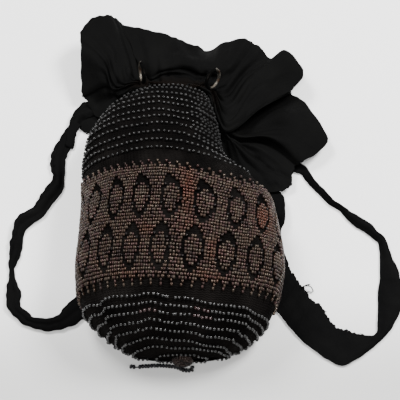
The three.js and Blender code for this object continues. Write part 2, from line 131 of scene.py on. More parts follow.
# Silk
SILK_THICK = 0.6
COLLAR_GAP = 1.4  # between the sewn-in silk and the inside of the knit
COLLAR_DEPTH = 12  # how far the silk is sewn into the mouth
MOUTH_TUCK = 1.5  # how far inside the rim the hidden front edge of the silk ends
MOUTH_STEP = 3  # how far the silk runs on straight out of the mouth before it turns
SILK_LINES_PER_FOLD = 8
SILK_STEPS = 72
SILK_FLAT = (290, 75)
SILK_BROWN_END = (38, 46)  # the silk is stained brown up to here, inside the mouth
GATHER_HEIGHT = 1.2
GATHER_RISE = (0.4, 0.55)  # parts of the way from the mouth to the hem where the gathers rise and fade
GATHER_FADE = (0.75, 1)
GATHER_LOSS = 0.6
PLEAT_HEIGHT = 0.15
WRINKLE_COUNT = 14
WRINKLE_HEIGHT = 0.12
WRINKLES_ALONG = (4, 34)
WRINKLES_ROUND = (-0.5, 0.6)
CREASE_RISE = (0.5, 0.65)
CREASE_ENDS = (-0.15, 0.25, 0.75, 1.15)  # where a crease begins and fades, in shares of its length
HEM_PART = (0.85, 1)

# Ribbons
RIBBON_THICK = 0.8
RIBBON_LIFT = 0.2
RIBBON_STEPS_PER_RUNG = 10
RIBBON_POINTS_ACROSS = 13
RIBBON_WRINKLE = 0.25
RIBBON_PLEATS = 1.6  # pleats across its width
LEFT_PLEAT = 0.9  # depth of the pleats along the ribbons
RIGHT_PLEAT = 0.3
SCRAP_PLEAT = 0.3
FRAYED_RUNGS = (19, 28)  # the stretch of the right ribbon whose inner edge has frayed
FRAY_FADE = 8
FRAY_DEPTH = 0.028
FRAY_COUNT = 44
FRAY_REACH = (0.3, 1.1)
FRAY_SWING = 0.8
FRAY_ROOT = 0.4  # how far inside the edge a loose thread begins
FRAY_RADIUS = 0.15
FRAY_POINTS = 6
FRAY_DROOP = 0.8  # how far a loose thread sinks towards its tip
FRAY_LOWEST = 0.2
LOOSE_STEPS = 24

# Hard pieces
THREAD_RADIUS = 0.3
RING_RADIUS = 6.5
RING_WIRE_RADIUS = 1.0
RING_WOUND = (2.6, 5.3)  # the part of each ring that is wound with black thread, which stands in for the shade inside the mouth, as angles round it
RING_WINDINGS = 44
RING_WINDING_STEPS = 14
RING_THREAD_REACH = 1.25
RING_THREAD_RADIUS = 0.22
RING_STEPS = 96
RING_SIDES = 16
RING_PLACES = {  # turned about the upright, and leaning aside, in degrees
    "ring_left": {"place": (-38.7, 85.5, 24), "turn": 14, "lean": 8},
    "ring_right": {"place": (8.7, 82, 21.4), "turn": -38, "lean": -12},
}
KNOB_PLACE = (-10, -111.7, 6.4)
KNOB_RADIUS = 5.4
KNOB_LENGTH = 4.0
KNOB_TILTS = (8, 32, 52, 70, 86)  # of its rings of beads, from the tip
KNOB_BEAD_RADIUS = 0.85
KNOB_BEAD_LENGTH = 1.5
KNOB_BEAD_PITCH = 1.75  # in bead radii
STRAND_BEAD_RADIUS = 1.3
STRAND_BEAD_LENGTH = 1.6
STRAND_BEAD_PITCH = 1.7
STRAND_START = 0.9
STRAND_STEPS = 400
STRAND_FEELER = 0.3
STRAND_TILT = 0.06
STRAND_GAP = (0.88, 0.92)  # part of the string that shows bare thread

# Table top, with painted shade that makes it a little darker just in front of the bag: where the painted
# shade fades out, behind and ahead of that
FLOOR_SIZE = 16000
FLOOR_SHADES = [(-139, -55), (-350, -700)]

# Camera
CAMERA_ELEVATION = 58
CAMERA_DISTANCE = 600
CAMERA_FOCUS = 937  # in pixels of a frame 400 pixels wide
FRAME_WIDTH = 400

# Lights: place, size and power
WORLD_LIGHT = 0.5
LIGHTS = {
    "key": ((-480, 560, 850), 380, 18),
    "second": ((620, 420, 800), 340, 24),
    "front": ((-100, -520, 900), 300, 8),
}


def table(columns, lines):
    """Lines of numbers as named columns."""
    numbers = np.array([line.split() for line in lines.strip().splitlines()], float)
    return dict(zip(columns.split(), numbers.T))


# Cross sections of the bag from the mouth to the bottom end
BODY_SECTIONS = table("y lean left right peak crown waist square", """
69.5 8 -40 2 -20 31 15 2.0
62 5 -52 6 -24 35 17 2.1
52 2 -62 9 -27 38.5 18 2.2
40 0 -68 11.5 -28 41.5 19 2.2
27 0 -72.8 13 -29 44 20 2.2
15 0 -73.4 18 -30 45.5 20 2.2
6 0 -73 28 -30 46 20 2.2
-5 0 -72.5 39 -28 46.5 20 2.25
-18 0 -71.6 45.5 -25 47 20 2.3
-40 0 -71.8 47.6 -21 47 20 2.5
-60 0 -72.6 48.5 -19 46.5 20 2.7
-76 0 -71 46.5 -18 45 19 2.8
-88 0 -67 42.5 -17 42 17 2.7
-98 0 -57 35 -15 36 13 2.6
-105 0 -47 26 -13 28 9.5 2.5
-109.9 0 -35 14 -11 17.5 6.5 2.3
-111.6 0 -10 -10 -10 6 6 2.0
""")

# Dents pushed into the upper side of the knit, and one ridge (a negative depth)
DENTS = table("x y reach_x reach_y depth", """
17 14 8 9 4
-60 -90 5 14 2.5
36 -92 5 13 2.5
-27 -96 6 16 -1.5
3 58 7 10 5
7 38 6 12 4
""")

# Soft unevenness of the knit: waves round the bag that drift along it
KNIT_WAVES = table("height turns drift start", """
0.3 3 0.05 0
0.25 5 -0.09 1
0.2 9 0.13 2
""")

# How far the rows of beads sink towards the foot at the sides, and between which x they do
SIDE_SLOPES = table("y left right", """
-100 0 0
-80 0 3.2
-55 0 5
-20 1 8.5
-3 2.5 9
9 6 7
60 7 5
""")
LEFT_REACH = (-28, -63)
RIGHT_REACH = (-25, 26)

# Bends of the rows at the foot: how far along the bag and how high up, a crest, and steps to both sides
FOOT_REACH = (84, 88, 107.5, 111)
FOOT_HEIGHTS = (4, 10)
FOOT_DEEP = 94  # the steps drift from here on
FOOT_CREST = (2.2, 2.0, -27, 7)  # how far rows sink, how much less at the crest, its x and half width
FOOT_STEPS = table("side start drift low high height growth", """
-1 0 0 20 48 -1.6 0
1 0 0 -8 8 2.6 0.15
-1 54.5 0.65 -1.5 2 2.6 0
-1 59 0.65 -1 3 -1.6 0
1 31 0.9 -2 2 2.2 0
""")

# Where the rows of single beads cross the crown, above and below the patterned band
UPPER_ROWS = [68.8, 64.5, 58.7, 53.1, 48.0, 41.1, 35.4, 29.1, 21.9, 15.3, 9.0]
CROWDED_ROWS = [61.6, 55.9, 50.5, 44.5, 38.2, 32.2, 25.5, 18.6]  # folded close on the right by the mouth
CROWDED_ANGLES = (-0.2, 0.85)
CROWDED_STRAY = (0.7, 0.15)  # how far these rows stray along the bag and at their end
LOWER_ROWS = [-87.6, -91.9, -95.6, -99.7, -103.1, -106.3, -109.1, -110.8]

# The pattern of the band, a leaf-shaped figure and a point of the edge: o a bead, x a dark one, . bare knit
FIGURE = [
    "ooo..ooooooo",
    "oo....oooooo",
    "o......ooooo",
    "o..oo.xooooo",
    ".xoooo..oooo",
    ".oooooo.oooo",
    ".oooooo.oooo",
    "xoooooo.oooo",
    ".oooooo.oooo",
    "..oooo.xoooo",
    "o.oooo.ooooo",
    "ox.oo..ooooo",
    "oo....oooooo",
    "ooo..ooooooo",
]
EDGE_POINT = ["o...", "o...", "oo.o"]
PLAIN_ROW = ["oooo"]
FIGURE_SHIFT = 2  # columns by which the lower figures stand aside from the upper ones

# How far apart the columns of the band stand across the upper side, against their mean
BAND_STRETCH = table("x spacing", """
-75 0.8
-50 0.85
-35 0.95
-18 1.1
5 1.15
22 1.05
38 0.88
48 0.8
""")
BAND_TIGHTENING = ((-55, -20), (0.91, 1.0))  # the lower rows lie closer there: y, and spacing

# Patches at the foot where single red beads are strung among the black ones
RED_PATCHES = table("x y reach_x reach_y", """
-28 -96 5 2
1 -94.5 7 2
1 -98.5 8 2
""")

# Patches of the band where the beads have rusted
RUST_PATCHES = table("x y reach_x reach_y strength", """
-7 -21 5 16 0.75
37 -36 5 9 0.95
-30 -48 7 4 0.4
-7 -45 8 7 0.35
7 -62 4 8 0.45
-40 -76 6 3 0.35
5 -77 8 4 0.4
""")

# Where the single beads are painted darker and duller: the first line is painted shade in the fold on the
# right by the mouth, the others darken the rows by the rim and at the right of the foot; how much, and
# where it begins and is full, towards +Y or -Y
DUST_AND_SHADE_PARTS = table("strength x_from x_full side y_from y_full", """
1 -8 6 1 15 25
0.7 -900 -800 1 54 62
0.4 8 25 -1 80 86
""")

# Folds of the silk: angle round the mouth, then a place near the mouth, half way and on the hem
SILK_FOLDS = table("turn near_x near_y near_z mid_x mid_y mid_z hem_x hem_y hem_z", """
146 -32.5 75 22 -33 76 22.3 -34 77 22.6
156 -40.5 76 21.5 -43 73 16 -45.5 66 9
163 -42 77 19.5 -50 71 11 -55.5 60 5
168 -42.5 78 18.5 -55.5 73 9.5 -67 62 4
173 -42.5 79 17.5 -59.5 79 13 -77.5 76 6.5
178 -42.5 80 16.5 -62 82 16 -80 80 8
184 -42.5 81 16 -64 90 19 -81 104 17
190 -42 82 15.5 -64.5 100 20 -82.5 122 22
197 -41 83.5 15 -61 107 20.5 -76 134 23
204 -40 85 14.5 -54 110 17.5 -64.5 140 20.5
211 -38 86.5 13 -46 110 12 -59 140.5 16.5
216 -36 87 11 -42 104 11.5 -54.5 137.6 13.5
224 -32 87 7 -34 95 11.5 -40 132.7 14.5
240 -25 87.5 3.5 -26 99 12.5 -26 129.4 13
256 -18 87.5 2.5 -16 101.5 13 -14 124.4 12.5
272 -11 87 2.5 -6 100.5 13 -3 119.6 11.5
286 -4 85.5 3.5 2 97 13 5 117.4 8.5
298 1 84 7 10 97 13 17.5 123.2 11
308 4 82.5 9.5 18 97 13.5 31 122.8 15
316 6 81 11 25 96 12 41 119.5 11
323 7 80 11.5 32 94 9.5 51 113 4.5
330 7.5 79 12 37 92 12.5 58.4 115.2 12
336 8 78.3 12.5 41 83 14 71 94 14
341 8 77.7 12.5 41 64 13.5 62 80 12
345 8 77.2 11.5 38 67 5 62 83 4
349 8 76.8 11.5 52 61 9 69 75.5 6
354 8 76.3 12 58 48 9.5 84 43 8
359 8 75.9 12.5 46 41 11.4 66.8 25 6.8
363 7.5 75.5 12 40.5 41.5 5.4 62.3 24 3.6
367 7.5 75.2 13.5 36 36 8.5 60 17.4 5
371 6.2 75 14.5 32 33 8 58.5 8.5 4.6
375 5.8 75 15.5 27 33 7.5 51.5 4.3 4.3
380 5.2 75 16.5 22 37 8.5 37 3 2.6
385 4.6 75 17.5 17 45 8 23 8 2.6
390 4.2 75 18.5 13.5 51 9 12.5 19 3
394 3.6 75 19.5 11.5 58 10 9 34 3.5
398 2.8 75 20.5 9.5 65 13 9.5 50 5
402 1.6 75 21.5 8 70.5 16 8 62 8
406 -0.5 74.8 23 4.5 74 20.5 6.5 71 15
412 -8 74.2 24.2 -7.4 75 24.3 -6.8 75.6 24.4
""")

# Places between the mouth and half way, where the silk lies gathered beside the knit
UNDER_PLACES = table("turn x y z", """
173 -52 73 12
178 -54 75 13.5
184 -58 77 17
190 -55 79.5 18
197 -51 82.5 18.5
204 -46.5 86 17.5
211 -41.5 88.5 13.5
316 14 80 13
323 17 70 14
330 18 61 14.5
336 18 52 14.5
341 17 45 13
345 18 50 5.5
349 22 52 6
354 26 48 7
359 22 44 10
363 20 42 5
367 19 43 8.5
371 17.5 43.5 9.5
375 16 45 10.5
380 14 50 13
""")

# The front edge of the silk stays inside the mouth: its angles, and the depths of its points as shares
TUCKED_TURNS = [420, 435, 450, 465, 478, 490]
TUCKED_PARTS = [0.6, 0.5, 0.35, 0.2, 0.1, 0]

# The lip of silk behind the mouth: between which angles it rises and fades, and its shape
LIP_TURNS = (212, 236, 288, 316)
LIP_HOLLOW = 4  # how far the lining stands back under the lip
LINING_RISE = 12  # how far it stands up near the mouth
LINING_SAG = 2
LIP_REACH = 3.5  # how far the lip leans towards the bag
LIP_RISE = 4.0
LIP_FOLD = 0.8  # height of the folds that run along the lip inside the mouth
LIP_FOLD_PARTS = (0.42, 0.5, 0.72, 0.8)

# How strongly the silk is gathered, by the angle round the mouth
GATHERS = table("turn strength", """
146 0.5
168 0.6
211 0.55
240 0.45
300 0.45
316 0.7
336 0.8
341 0.5
345 0.3
354 0.25
359 0.25
375 0.35
412 0.25
""")

# Waves of the uneven hem
HEM_WAVES = table("height rate start", """
0.3 0.83 0
0.3 2.1 1
0.12 5.3 2
""")

# Single creases pressed into the silk: from, to, width and height (below zero is a valley)
CREASES = table("ax ay bx by width height", """
17 69 30 99 4.5 -2.2
19 51 42 79 2.2 -1.4
24 50 46 74 2.0 -1.2
15 57 27 69 1.8 -1.0
15 61 36 91 3.0 1.2
42 78 59 101 3.5 -1.4
48 60 74 62 5.0 1.2
45 52 76 45 4.0 -1.0
20 42 31 26 3.0 1.4
16 35 40 16 2.2 -1.6
40 20 54 12 3.0 1.2
-62 107 -59 71 2.0 -1.2
-57 108 -55 73 1.8 -1.2
-52 105 -50 76 1.8 -1.3
-47 101 -44 82 1.6 -1.2
-75 109 -64 77 4.0 1.4
-72 73 -65 77 3.0 -2.4
-21 116 -16 109 2.4 -1.4
-26 105 -20 106 1.8 -1.0
-70 128 -50 104 4.5 -1.6
-44 126 -36 104 3.5 -1.2
-8 119 -4 104 3.0 -1.0
24 41 42 24 1.7 -2.0
38 22 58 14 1.7 -2.0
20 33 37 15 1.9 1.6
30 37 38 32 2.4 -2.0
42 12 54 9 1.6 1.5
""")

# Rungs across the ribbons: both edges, the height of the lower face there, and how far the middle curls up
RIBBON_COLUMNS = "ax ay az bx by bz curl"
LEFT_RUNGS = table(RIBBON_COLUMNS, """
-66 76 3 -62.5 67.5 2.4 0.4
-70 76 2.8 -66 67 2.2 0.4
-78.3 75.7 2.4 -72.7 65 2 0.6
-86 65 1.6 -80.6 60.5 0.4 1
-89 55.5 1.2 -82.2 53 0 1
-95.5 41.7 0.8 -85.8 38.5 0 1
-98.3 31 0.5 -88 31 0 1
-97 22 0.4 -88 21 0 1
-95.2 15.5 0.4 -87.6 10 0 0.8
-100.4 6.8 0.4 -89.7 3.5 0 0.8
-103.3 -0.8 0.4 -94.2 -4 0 0.8
-107.8 -8 0.8 -98.5 -12.6 0 0.8
-115.2 -14.5 2 -106.7 -20.2 0 0.6
-116.7 -24 2 -110.4 -26.7 0 0.6
-117.7 -34 0.7 -110 -37 0 0.8
-117.5 -44 0.5 -112 -46 0 0.5
-116.2 -54 0.5 -113.3 -52.5 0 0.1
-116.3 -63.5 0.4 -110 -62 0 0.5
-116.3 -70.2 0.3 -107.5 -68.2 0 0.8
-113.6 -78 0.3 -107.7 -74.6 0 0.8
-108.2 -84 0 -102 -79.7 0.4 0.8
-100.5 -88.8 0 -98.5 -83.5 1.6 0.6
-91 -91.5 0 -90.8 -84.2 1.6 0.6
-81.8 -90.8 0 -85.2 -82.5 0.8 0.8
-73.2 -87 0 -81 -76.6 0.2 0.6
-66.4 -80 0 -75 -69.2 0 0.3
-62 -66 0 -70.5 -62 0 0
-60.5 -40 0 -70 -40 0 0
-60.5 0 0 -70 0 0 0
-61 36 0 -70.5 38 0 0
-63.5 52 0 -74 55 0 0
-61 62 0 -68 69 0 0
""")
RIGHT_RUNGS = table(RIBBON_COLUMNS, """
57 30.5 0.6 55.5 25 0.6 0.2
66 27.2 0.6 62.5 20.5 0.3 0.2
70 22.4 2.2 65.7 19.3 0 0.3
73 14.4 3.2 69.2 13 0 0.3
78.8 6.4 3.2 75.7 4.6 0 0.3
85.4 -2.7 3.2 82.8 -4.4 0 0.3
90.6 -6.8 3 88.2 -8.2 0 0.3
95.9 -11.2 2.5 93.1 -15.4 0 0.6
102.4 -16 2.5 97.8 -20.6 0 0.6
107.2 -19.8 2.5 103.6 -24.8 0 0.6
110.7 -25.2 2.5 107.8 -29 0 0.4
115 -29.2 2 110.8 -32.6 0 0.5
116.4 -35.6 1.4 111 -37.6 0 0.8
118.3 -43.4 0.8 110.3 -46 0 1
121.2 -53 0.3 109.2 -57 0 1
121.7 -65 0 107.1 -66.2 0 0.8
119.7 -77 0 106 -77 0 0.8
113.7 -88.4 0 104.8 -86 0.3 0.8
107 -96.2 0 104 -92 0.4 0.6
98.7 -103.2 0 100.2 -94.6 0.4 0.6
90.1 -109.4 0 94.6 -93.8 0.3 0.6
81.7 -113 0 88.1 -91.6 0.2 0.6
74.8 -110 0 82.3 -90 0.2 0.6
68.2 -105 0 77.3 -85.6 0.2 0.6
61.6 -99.4 0 73.4 -77.2 0.2 0.6
55.5 -92.5 0 66.7 -70.4 0.2 0.6
49.5 -84 0 61.8 -62.2 0.2 0.6
44 -75 0 56.1 -52.6 0.2 0.6
41 -62 0 52.8 -41.8 0.4 0.6
40.5 -46 0 50.2 -33 1.2 0.4
41 -30 0 50.5 -25 4 0.3
41 -22 0.1 53 -19 5.5 0.3
40.5 -15 0.3 53.4 -13 6.5 0.3
40.5 -4 0.3 53.6 -3 5 0.3
39 6 0.5 51 6 1.2 0.2
38 14 0.8 48 15 1 0.2
38 21 2 45 22.5 2.6 0
""")
SILK_TAIL_RUNGS = table(RIBBON_COLUMNS, """
-78 70 0.6 -58 68 2.6 0.1
-81 61 0.2 -60 60 2.2 0.3
-80.5 55.5 0.1 -63 53 1.2 0.3
-76 52 0.1 -66 50 0.5 0.1
""")
RIBBON_END_RUNGS = table(RIBBON_COLUMNS, """
-86 61 2.8 -80 58 1.6 0.2
-88 49 2.6 -83.2 47.4 0.9 0.4
-88.8 42 2.2 -83.6 40 0.5 0.4
-88.6 40.6 1.9 -84.4 38.8 0.3 0.3
""")

# Uneven thickness of the rings' wire
RING_WAVES = table("height rate start", """
0.05 5 1
0.04 11 0
""")

# Long loose threads at the frayed edge
LOOSE_THREADS = [
    [(58.5, -65, 1.2), (62.5, -62.5, 1.8), (66.5, -63, 2.4), (68, -65.8, 1.2), (64.5, -65.6, 0.5)],
    [(59.5, -66, 1.2), (63.5, -62, 1.8), (66.5, -60.5, 0.5)],
]

# The way of the bead string from the knob
STRAND_ROUTE = [
    (-4.6, -114, 3.2),
    (-4.6, -115.7, 1.3),
    (-8.8, -116, 1),
    (-13.2, -114.2, 1),
    (-21.3, -113.2, 1),
    (-31.2, -113.5, 1),
    (-36.8, -114, 1),
    (-40.4, -113.6, 1),
]


def table_shift():
    """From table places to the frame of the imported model, found from where a ring lies in both."""
    low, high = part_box("ring_left")
    middle = (np.array(low) + np.array(high)) / 2 / MM
    return middle - np.array(RING_PLACES["ring_left"]["place"])


SHIFT = table_shift()


def to_metres(points):
    """Table places in millimetres as places in the scene."""
    return (np.asarray(points, float) + SHIFT) * MM


# Curves

def smooth_curve(places, values):
    """A smooth curve through given values that never swings past them (a monotone cubic)."""
    places = np.asarray(places, float)
    values = np.asarray(values, float)
    spans = np.diff(places)
    slopes = np.diff(values) / spans
    tangents = np.zeros_like(values)
    tangents[0] = slopes[0]
    tangents[-1] = slopes[-1]
    for i in range(1, len(values) - 1):
        if slopes[i - 1] * slopes[i] > 0:
            before = 2 * spans[i] + spans[i - 1]
            after = spans[i] + 2 * spans[i - 1]
            tangents[i] = (before + after) / (before / slopes[i - 1] + after / slopes[i])

    def curve(place):
        i = np.clip(np.searchsorted(places, place, side="right") - 1, 0, len(spans) - 1)
        t = np.clip((place - places[i]) / spans[i], 0, 1)
        u = 1 - t
        start = (1 + 2 * t) * u * u * values[i] + t * u * u * spans[i] * tangents[i]
        end = t * t * (3 - 2 * t) * values[i + 1] - t * t * u * spans[i] * tangents[i + 1]
        return start + end

    return curve


def smooth_step(value, low, high):
    """0 below low, 1 above high, and a soft rise between."""
    t = np.clip((value - low) / (high - low), 0, 1)
    return t * t * (3 - 2 * t)


def plateau(value, low, full, fade, end):
    """1 between full and fade, 0 outside low and end, and soft slopes between."""
    return smooth_step(value, low, full) * (1 - smooth_step(value, fade, end))


def waves(value, kinds):
    """A sum of waves along a value, each with its height, rate and start."""
    total = np.zeros_like(value)
    for height, rate, start in zip(*kinds.values()):
        total = total + height * np.sin(rate * value + start)
    return total


def smooth_path(points, steps):
    """Points along smooth lines through given points, for many lines at once: (points, lines, 3) in."""
    first = 2 * points[0] - points[1]
    last = 2 * points[-1] - points[-2]
    padded = np.concatenate([first[None], points, last[None]])
    rows = []
    for t in np.linspace(0, len(points) - 1, steps + 1):
        i = min(int(t), len(points) - 2)
        rows.append(path_point(padded[i:i + 4], t - i))
    return np.stack(rows)


def path_point(four, weight):
    """A point between the middle two of four points, on a centripetal spline."""
    gaps = np.sqrt(np.linalg.norm(np.diff(four, axis=0), axis=-1, keepdims=True))
    gaps = np.maximum(gaps, 1e-6)
    a, b, c, d = four
    before, here, after = gaps
    start = ((b - a) / before - (c - a) / (before + here) + (c - b) / here) * here
    end = ((c - b) / here - (d - b) / (here + after) + (d - c) / after) * here
    square = -3 * b + 3 * c - 2 * start - end
    cube = 2 * b - 2 * c + start + end
    return b + start * weight + square * weight ** 2 + cube * weight ** 3


def smooth_line(points, steps):
    """Points along one smooth line through given points."""
    return smooth_path(np.array(points, float)[:, None], steps)[:, 0]


def path_lengths(points):
    """How far along a path each of its points lies."""
    return np.concatenate([[0], np.cumsum(np.linalg.norm(np.diff(points, axis=0), axis=-1))])


def along_path(points, distances):
    """Points at given distances along a path."""
    lengths = path_lengths(points)
    return np.stack([np.interp(distances, lengths, axis) for axis in points.T], axis=-1)


def unit(vectors):
    """Vectors made one long."""
    return vectors / np.maximum(np.linalg.norm(vectors, axis=-1, keepdims=True), 1e-9)


# The surface of the bag

def section_places():
    """Distances of the sections from the mouth, about as the knit itself runs."""
    steps = {name: np.diff(column) for name, column in BODY_SECTIONS.items()}
    side = steps["left"] ** 2 / 2 + steps["right"] ** 2 / 2
    return np.concatenate([[0], np.cumsum(np.sqrt(steps["y"] ** 2 + steps["crown"] ** 2 + side))])


BODY_PLACES = section_places()
BODY_LENGTH = BODY_PLACES[-1]
BODY = {name: smooth_curve(BODY_PLACES, column) for name, column in BODY_SECTIONS.items()}


def place_at(y):
    """The distance from the mouth at which the crown lies at y."""
    places = np.linspace(0, BODY_LENGTH, 2000)
    return np.interp(-np.asarray(y, float), -BODY["y"](places), places)


ROW_PLACES = np.concatenate([place_at(UPPER_ROWS), place_at(LOWER_ROWS)])


def dent_depth(x, y):
    """How far the dents push the upper side of the knit down."""
    depth = np.zeros_like(x)
    for dx, dy, reach_x, reach_y, deep in zip(*DENTS.values()):
        depth = depth + deep * np.exp(-((x - dx) / reach_x) ** 2 - ((y - dy) / reach_y) ** 2)
    return depth


def paired(place, angle):
    """Places along the bag and angles round it, brought to the same shape."""
    return np.broadcast_arrays(np.asarray(place, float), np.asarray(angle, float))


def body_point(place, angle):
    """Points on the outside of the bag: a round section with a square touch, flat where it lies."""
    place, angle = paired(place, angle)
    column = {name: curve(place) for name, curve in BODY.items()}
    power = 2 / column["square"]
    cos = np.cos(angle)
    sin = np.sin(angle)
    edge = np.where(cos > 0, column["right"], column["left"])
    x = column["peak"] + (edge - column["peak"]) * np.abs(cos) ** power
    rise = np.abs(sin) ** power
    above = column["waist"] + (column["crown"] - column["waist"] - dent_depth(x, column["y"])) * rise
    below = column["waist"] - (column["waist"] + FLOOR_SINK) * rise
    z = np.maximum(np.where(sin > 0, above, below), 0)
    y = column["y"] + column["lean"] * (1 - z / column["crown"])
    return np.stack([x, y, z], axis=-1)


def body_normal(place, angle):
    """Outward directions of the bag's surface, felt out by small steps."""
    place = np.clip(place, FEELER, BODY_LENGTH - 4 * FEELER)
    angle = np.asarray(angle)
    along = body_point(place + FEELER, angle) - body_point(place - FEELER, angle)
    across = body_point(place, angle + ANGLE_FEELER) - body_point(place, angle - ANGLE_FEELER)
    return unit(np.cross(across, along))


def row_wave(place, angle):
    """How far the rows of beads stray along the knit: down at the sides, and in bends at the foot."""
    x, y, z = np.moveaxis(body_point(place, angle), -1, 0)
    left = np.interp(y, SIDE_SLOPES["y"], SIDE_SLOPES["left"])
    left = left * np.clip((x - LEFT_REACH[0]) / (LEFT_REACH[1] - LEFT_REACH[0]), 0, 1.25)
    right = np.interp(y, SIDE_SLOPES["y"], SIDE_SLOPES["right"]) * smooth_step(x, *RIGHT_REACH)
    foot = plateau(-y, *FOOT_REACH) * smooth_step(z, *FOOT_HEIGHTS)
    return left + right + foot * foot_bend(x, np.maximum(-y - FOOT_DEEP, 0))


def foot_bend(x, deep):
    """How the rows at the foot bend across the upper side, so deep behind the start of the foot."""
    base, hollow, middle, reach = FOOT_CREST
    bend = base - hollow * np.exp(-((x - middle) / reach) ** 2)
    for side, start, drift, low, high, height, growth in zip(*FOOT_STEPS.values()):
        bend = bend + (height + growth * deep) * smooth_step(side * x - start + drift * deep, low, high)
    return bend


def knit_swell(place, angle):
    """How far the knit stands out: a low ridge under each row of beads, and a soft unevenness."""
    place, angle = paired(place, angle)
    level = place - row_wave(place, angle)
    swell = np.zeros(place.shape)
    for row in ROW_PLACES:
        swell = swell + RIDGE_HEIGHT * np.exp(-((level - row) / RIDGE_WIDTH) ** 2)
    for height, turns, drift, start in zip(*KNIT_WAVES.values()):
        swell = swell + height * np.sin(turns * angle + drift * place + start)
    return swell


def knit_point(place, angle, lift=0.0, lowest=UNDERSIDE):
    """Points on the knit, or lifted off it, kept above the table."""
    place, angle = paired(place, angle)
    offset = knit_swell(place, angle) - KNIT_INSET + lift
    point = body_point(place, angle) + body_normal(place, angle) * offset[..., None]
    point[..., 2] = np.maximum(point[..., 2], lowest)
    return point


# Meshes

def new_object(name, points, quads, tones=None, uv=None, sharp=50):
    """An object from points in millimetres and four-cornered faces, smooth up to a sharp angle."""
    mesh = bpy.data.meshes.new(name)
    mesh.vertices.add(len(points))
    mesh.vertices.foreach_set("co", to_metres(points).ravel())
    mesh.loops.add(quads.size)
    mesh.loops.foreach_set("vertex_index", quads.ravel().astype(np.int32))
    mesh.polygons.add(len(quads))
    mesh.polygons.foreach_set("loop_start", np.arange(0, quads.size, 4, dtype=np.int32))
    mesh.update(calc_edges=True)
    if tones is not None:
        mesh.color_attributes.new("tone", "FLOAT_COLOR", "POINT").data.foreach_set("color", tones.ravel())
    if uv is not None:
        mesh.uv_layers.new(name="cloth").data.foreach_set("uv", uv[quads.ravel()].ravel())
    mesh.shade_smooth()
    mesh.set_sharp_from_angle(angle=math.radians(sharp))
    piece = bpy.data.objects.new(name, mesh)
    bpy.context.scene.collection.objects.link(piece)
    return piece


def strip(a, b, c, d):
    """Faces from four arrays of corners."""
    return np.stack([a, b, c, d], axis=-1).reshape(-1, 4)


def sheet_quads(rows, columns):
    """Faces of a closed sheet: an upper grid of points, then a lower one, joined round their edges."""
    upper = np.arange(rows * columns).reshape(rows, columns)
    lower = upper + rows * columns
    return np.concatenate([
        strip(upper[:-1, :-1], upper[:-1, 1:], upper[1:, 1:], upper[1:, :-1]),
        strip(lower[:-1, :-1], lower[1:, :-1], lower[1:, 1:], lower[:-1, 1:]),
        strip(upper[0, :-1], lower[0, :-1], lower[0, 1:], upper[0, 1:]),
        strip(upper[-1, :-1], upper[-1, 1:], lower[-1, 1:], lower[-1, :-1]),
        strip(upper[:-1, 0], upper[1:, 0], lower[1:, 0], lower[:-1, 0]),
        strip(upper[:-1, -1], lower[:-1, -1], lower[1:, -1], upper[1:, -1]),
    ])


def grid_normals(grid):
    """Directions across a grid of points."""
    return unit(np.cross(np.gradient(grid, axis=1), np.gradient(grid, axis=0)))


def sheet_object(name, grid, thick, uv, lowest=CLEARANCE):
    """A closed sheet of even thickness about a grid of points."""
    half = grid_normals(grid) * thick / 2
    points = np.concatenate([(grid + half).reshape(-1, 3), (grid - half).reshape(-1, 3)])
    points[:, 2] = np.maximum(points[:, 2], lowest)
    flat = uv.reshape(-1, 2)
    return new_object(name, points, sheet_quads(*grid.shape[:2]), uv=np.concatenate([flat, flat]))


# The rounded outline of a bead: place along its hole and distance from it
BEAD_OUTLINE = np.array([(-0.5, 0.52), (-0.3, 0.96), (0.3, 0.96), (0.5, 0.52)])


def bead_quads():
    """Faces of one bead, whose points run round its hole ring by ring."""
    index = np.arange(len(BEAD_OUTLINE) * BEAD_SIDES).reshape(-1, BEAD_SIDES)
    after = np.roll(index, -1, axis=1)
    end = np.array([(0, 1, 2, 3), (0, 3, 4, 7), (4, 5, 6, 7)])
    sides = strip(index[:-1], after[:-1], after[1:], index[1:])
    ends = np.stack([end[:, ::-1], end + index[-1, 0]], axis=1)
    return np.concatenate([sides, ends.reshape(-1, 4)])


def bead_object(name, centres, holes, normals, length, radius, tones, dull):
    """Many beads in one mesh, each turned with its hole along the thread. Dull is how rough each one is."""
    side = np.cross(holes, normals)
    turns = 2 * np.pi * (np.arange(BEAD_SIDES)[:, None] + 0.5) / BEAD_SIDES
    round_hole = normals[:, None] * np.cos(turns) + side[:, None] * np.sin(turns)
    along = BEAD_OUTLINE[:, 0] * np.reshape(length, (-1, 1))
    out = BEAD_OUTLINE[:, 1] * np.reshape(radius, (-1, 1))
    points = centres[:, None, None] + holes[:, None, None] * along[..., None, None]
    points = points + round_hole[:, None] * out[..., None, None]
    each = len(BEAD_OUTLINE) * BEAD_SIDES
    quads = bead_quads() + (np.arange(len(centres)) * each)[:, None, None]
    paint = np.repeat(np.column_stack([tones, dull]), each, axis=0)
    return new_object(name, points.reshape(-1, 3), quads.reshape(-1, 4), tones=paint, sharp=80)


def dullness(count, low, high):
    """How rough beads are: most of them near the glossy end."""
    return low + (high - low) * RANDOM.random(count) ** 1.5


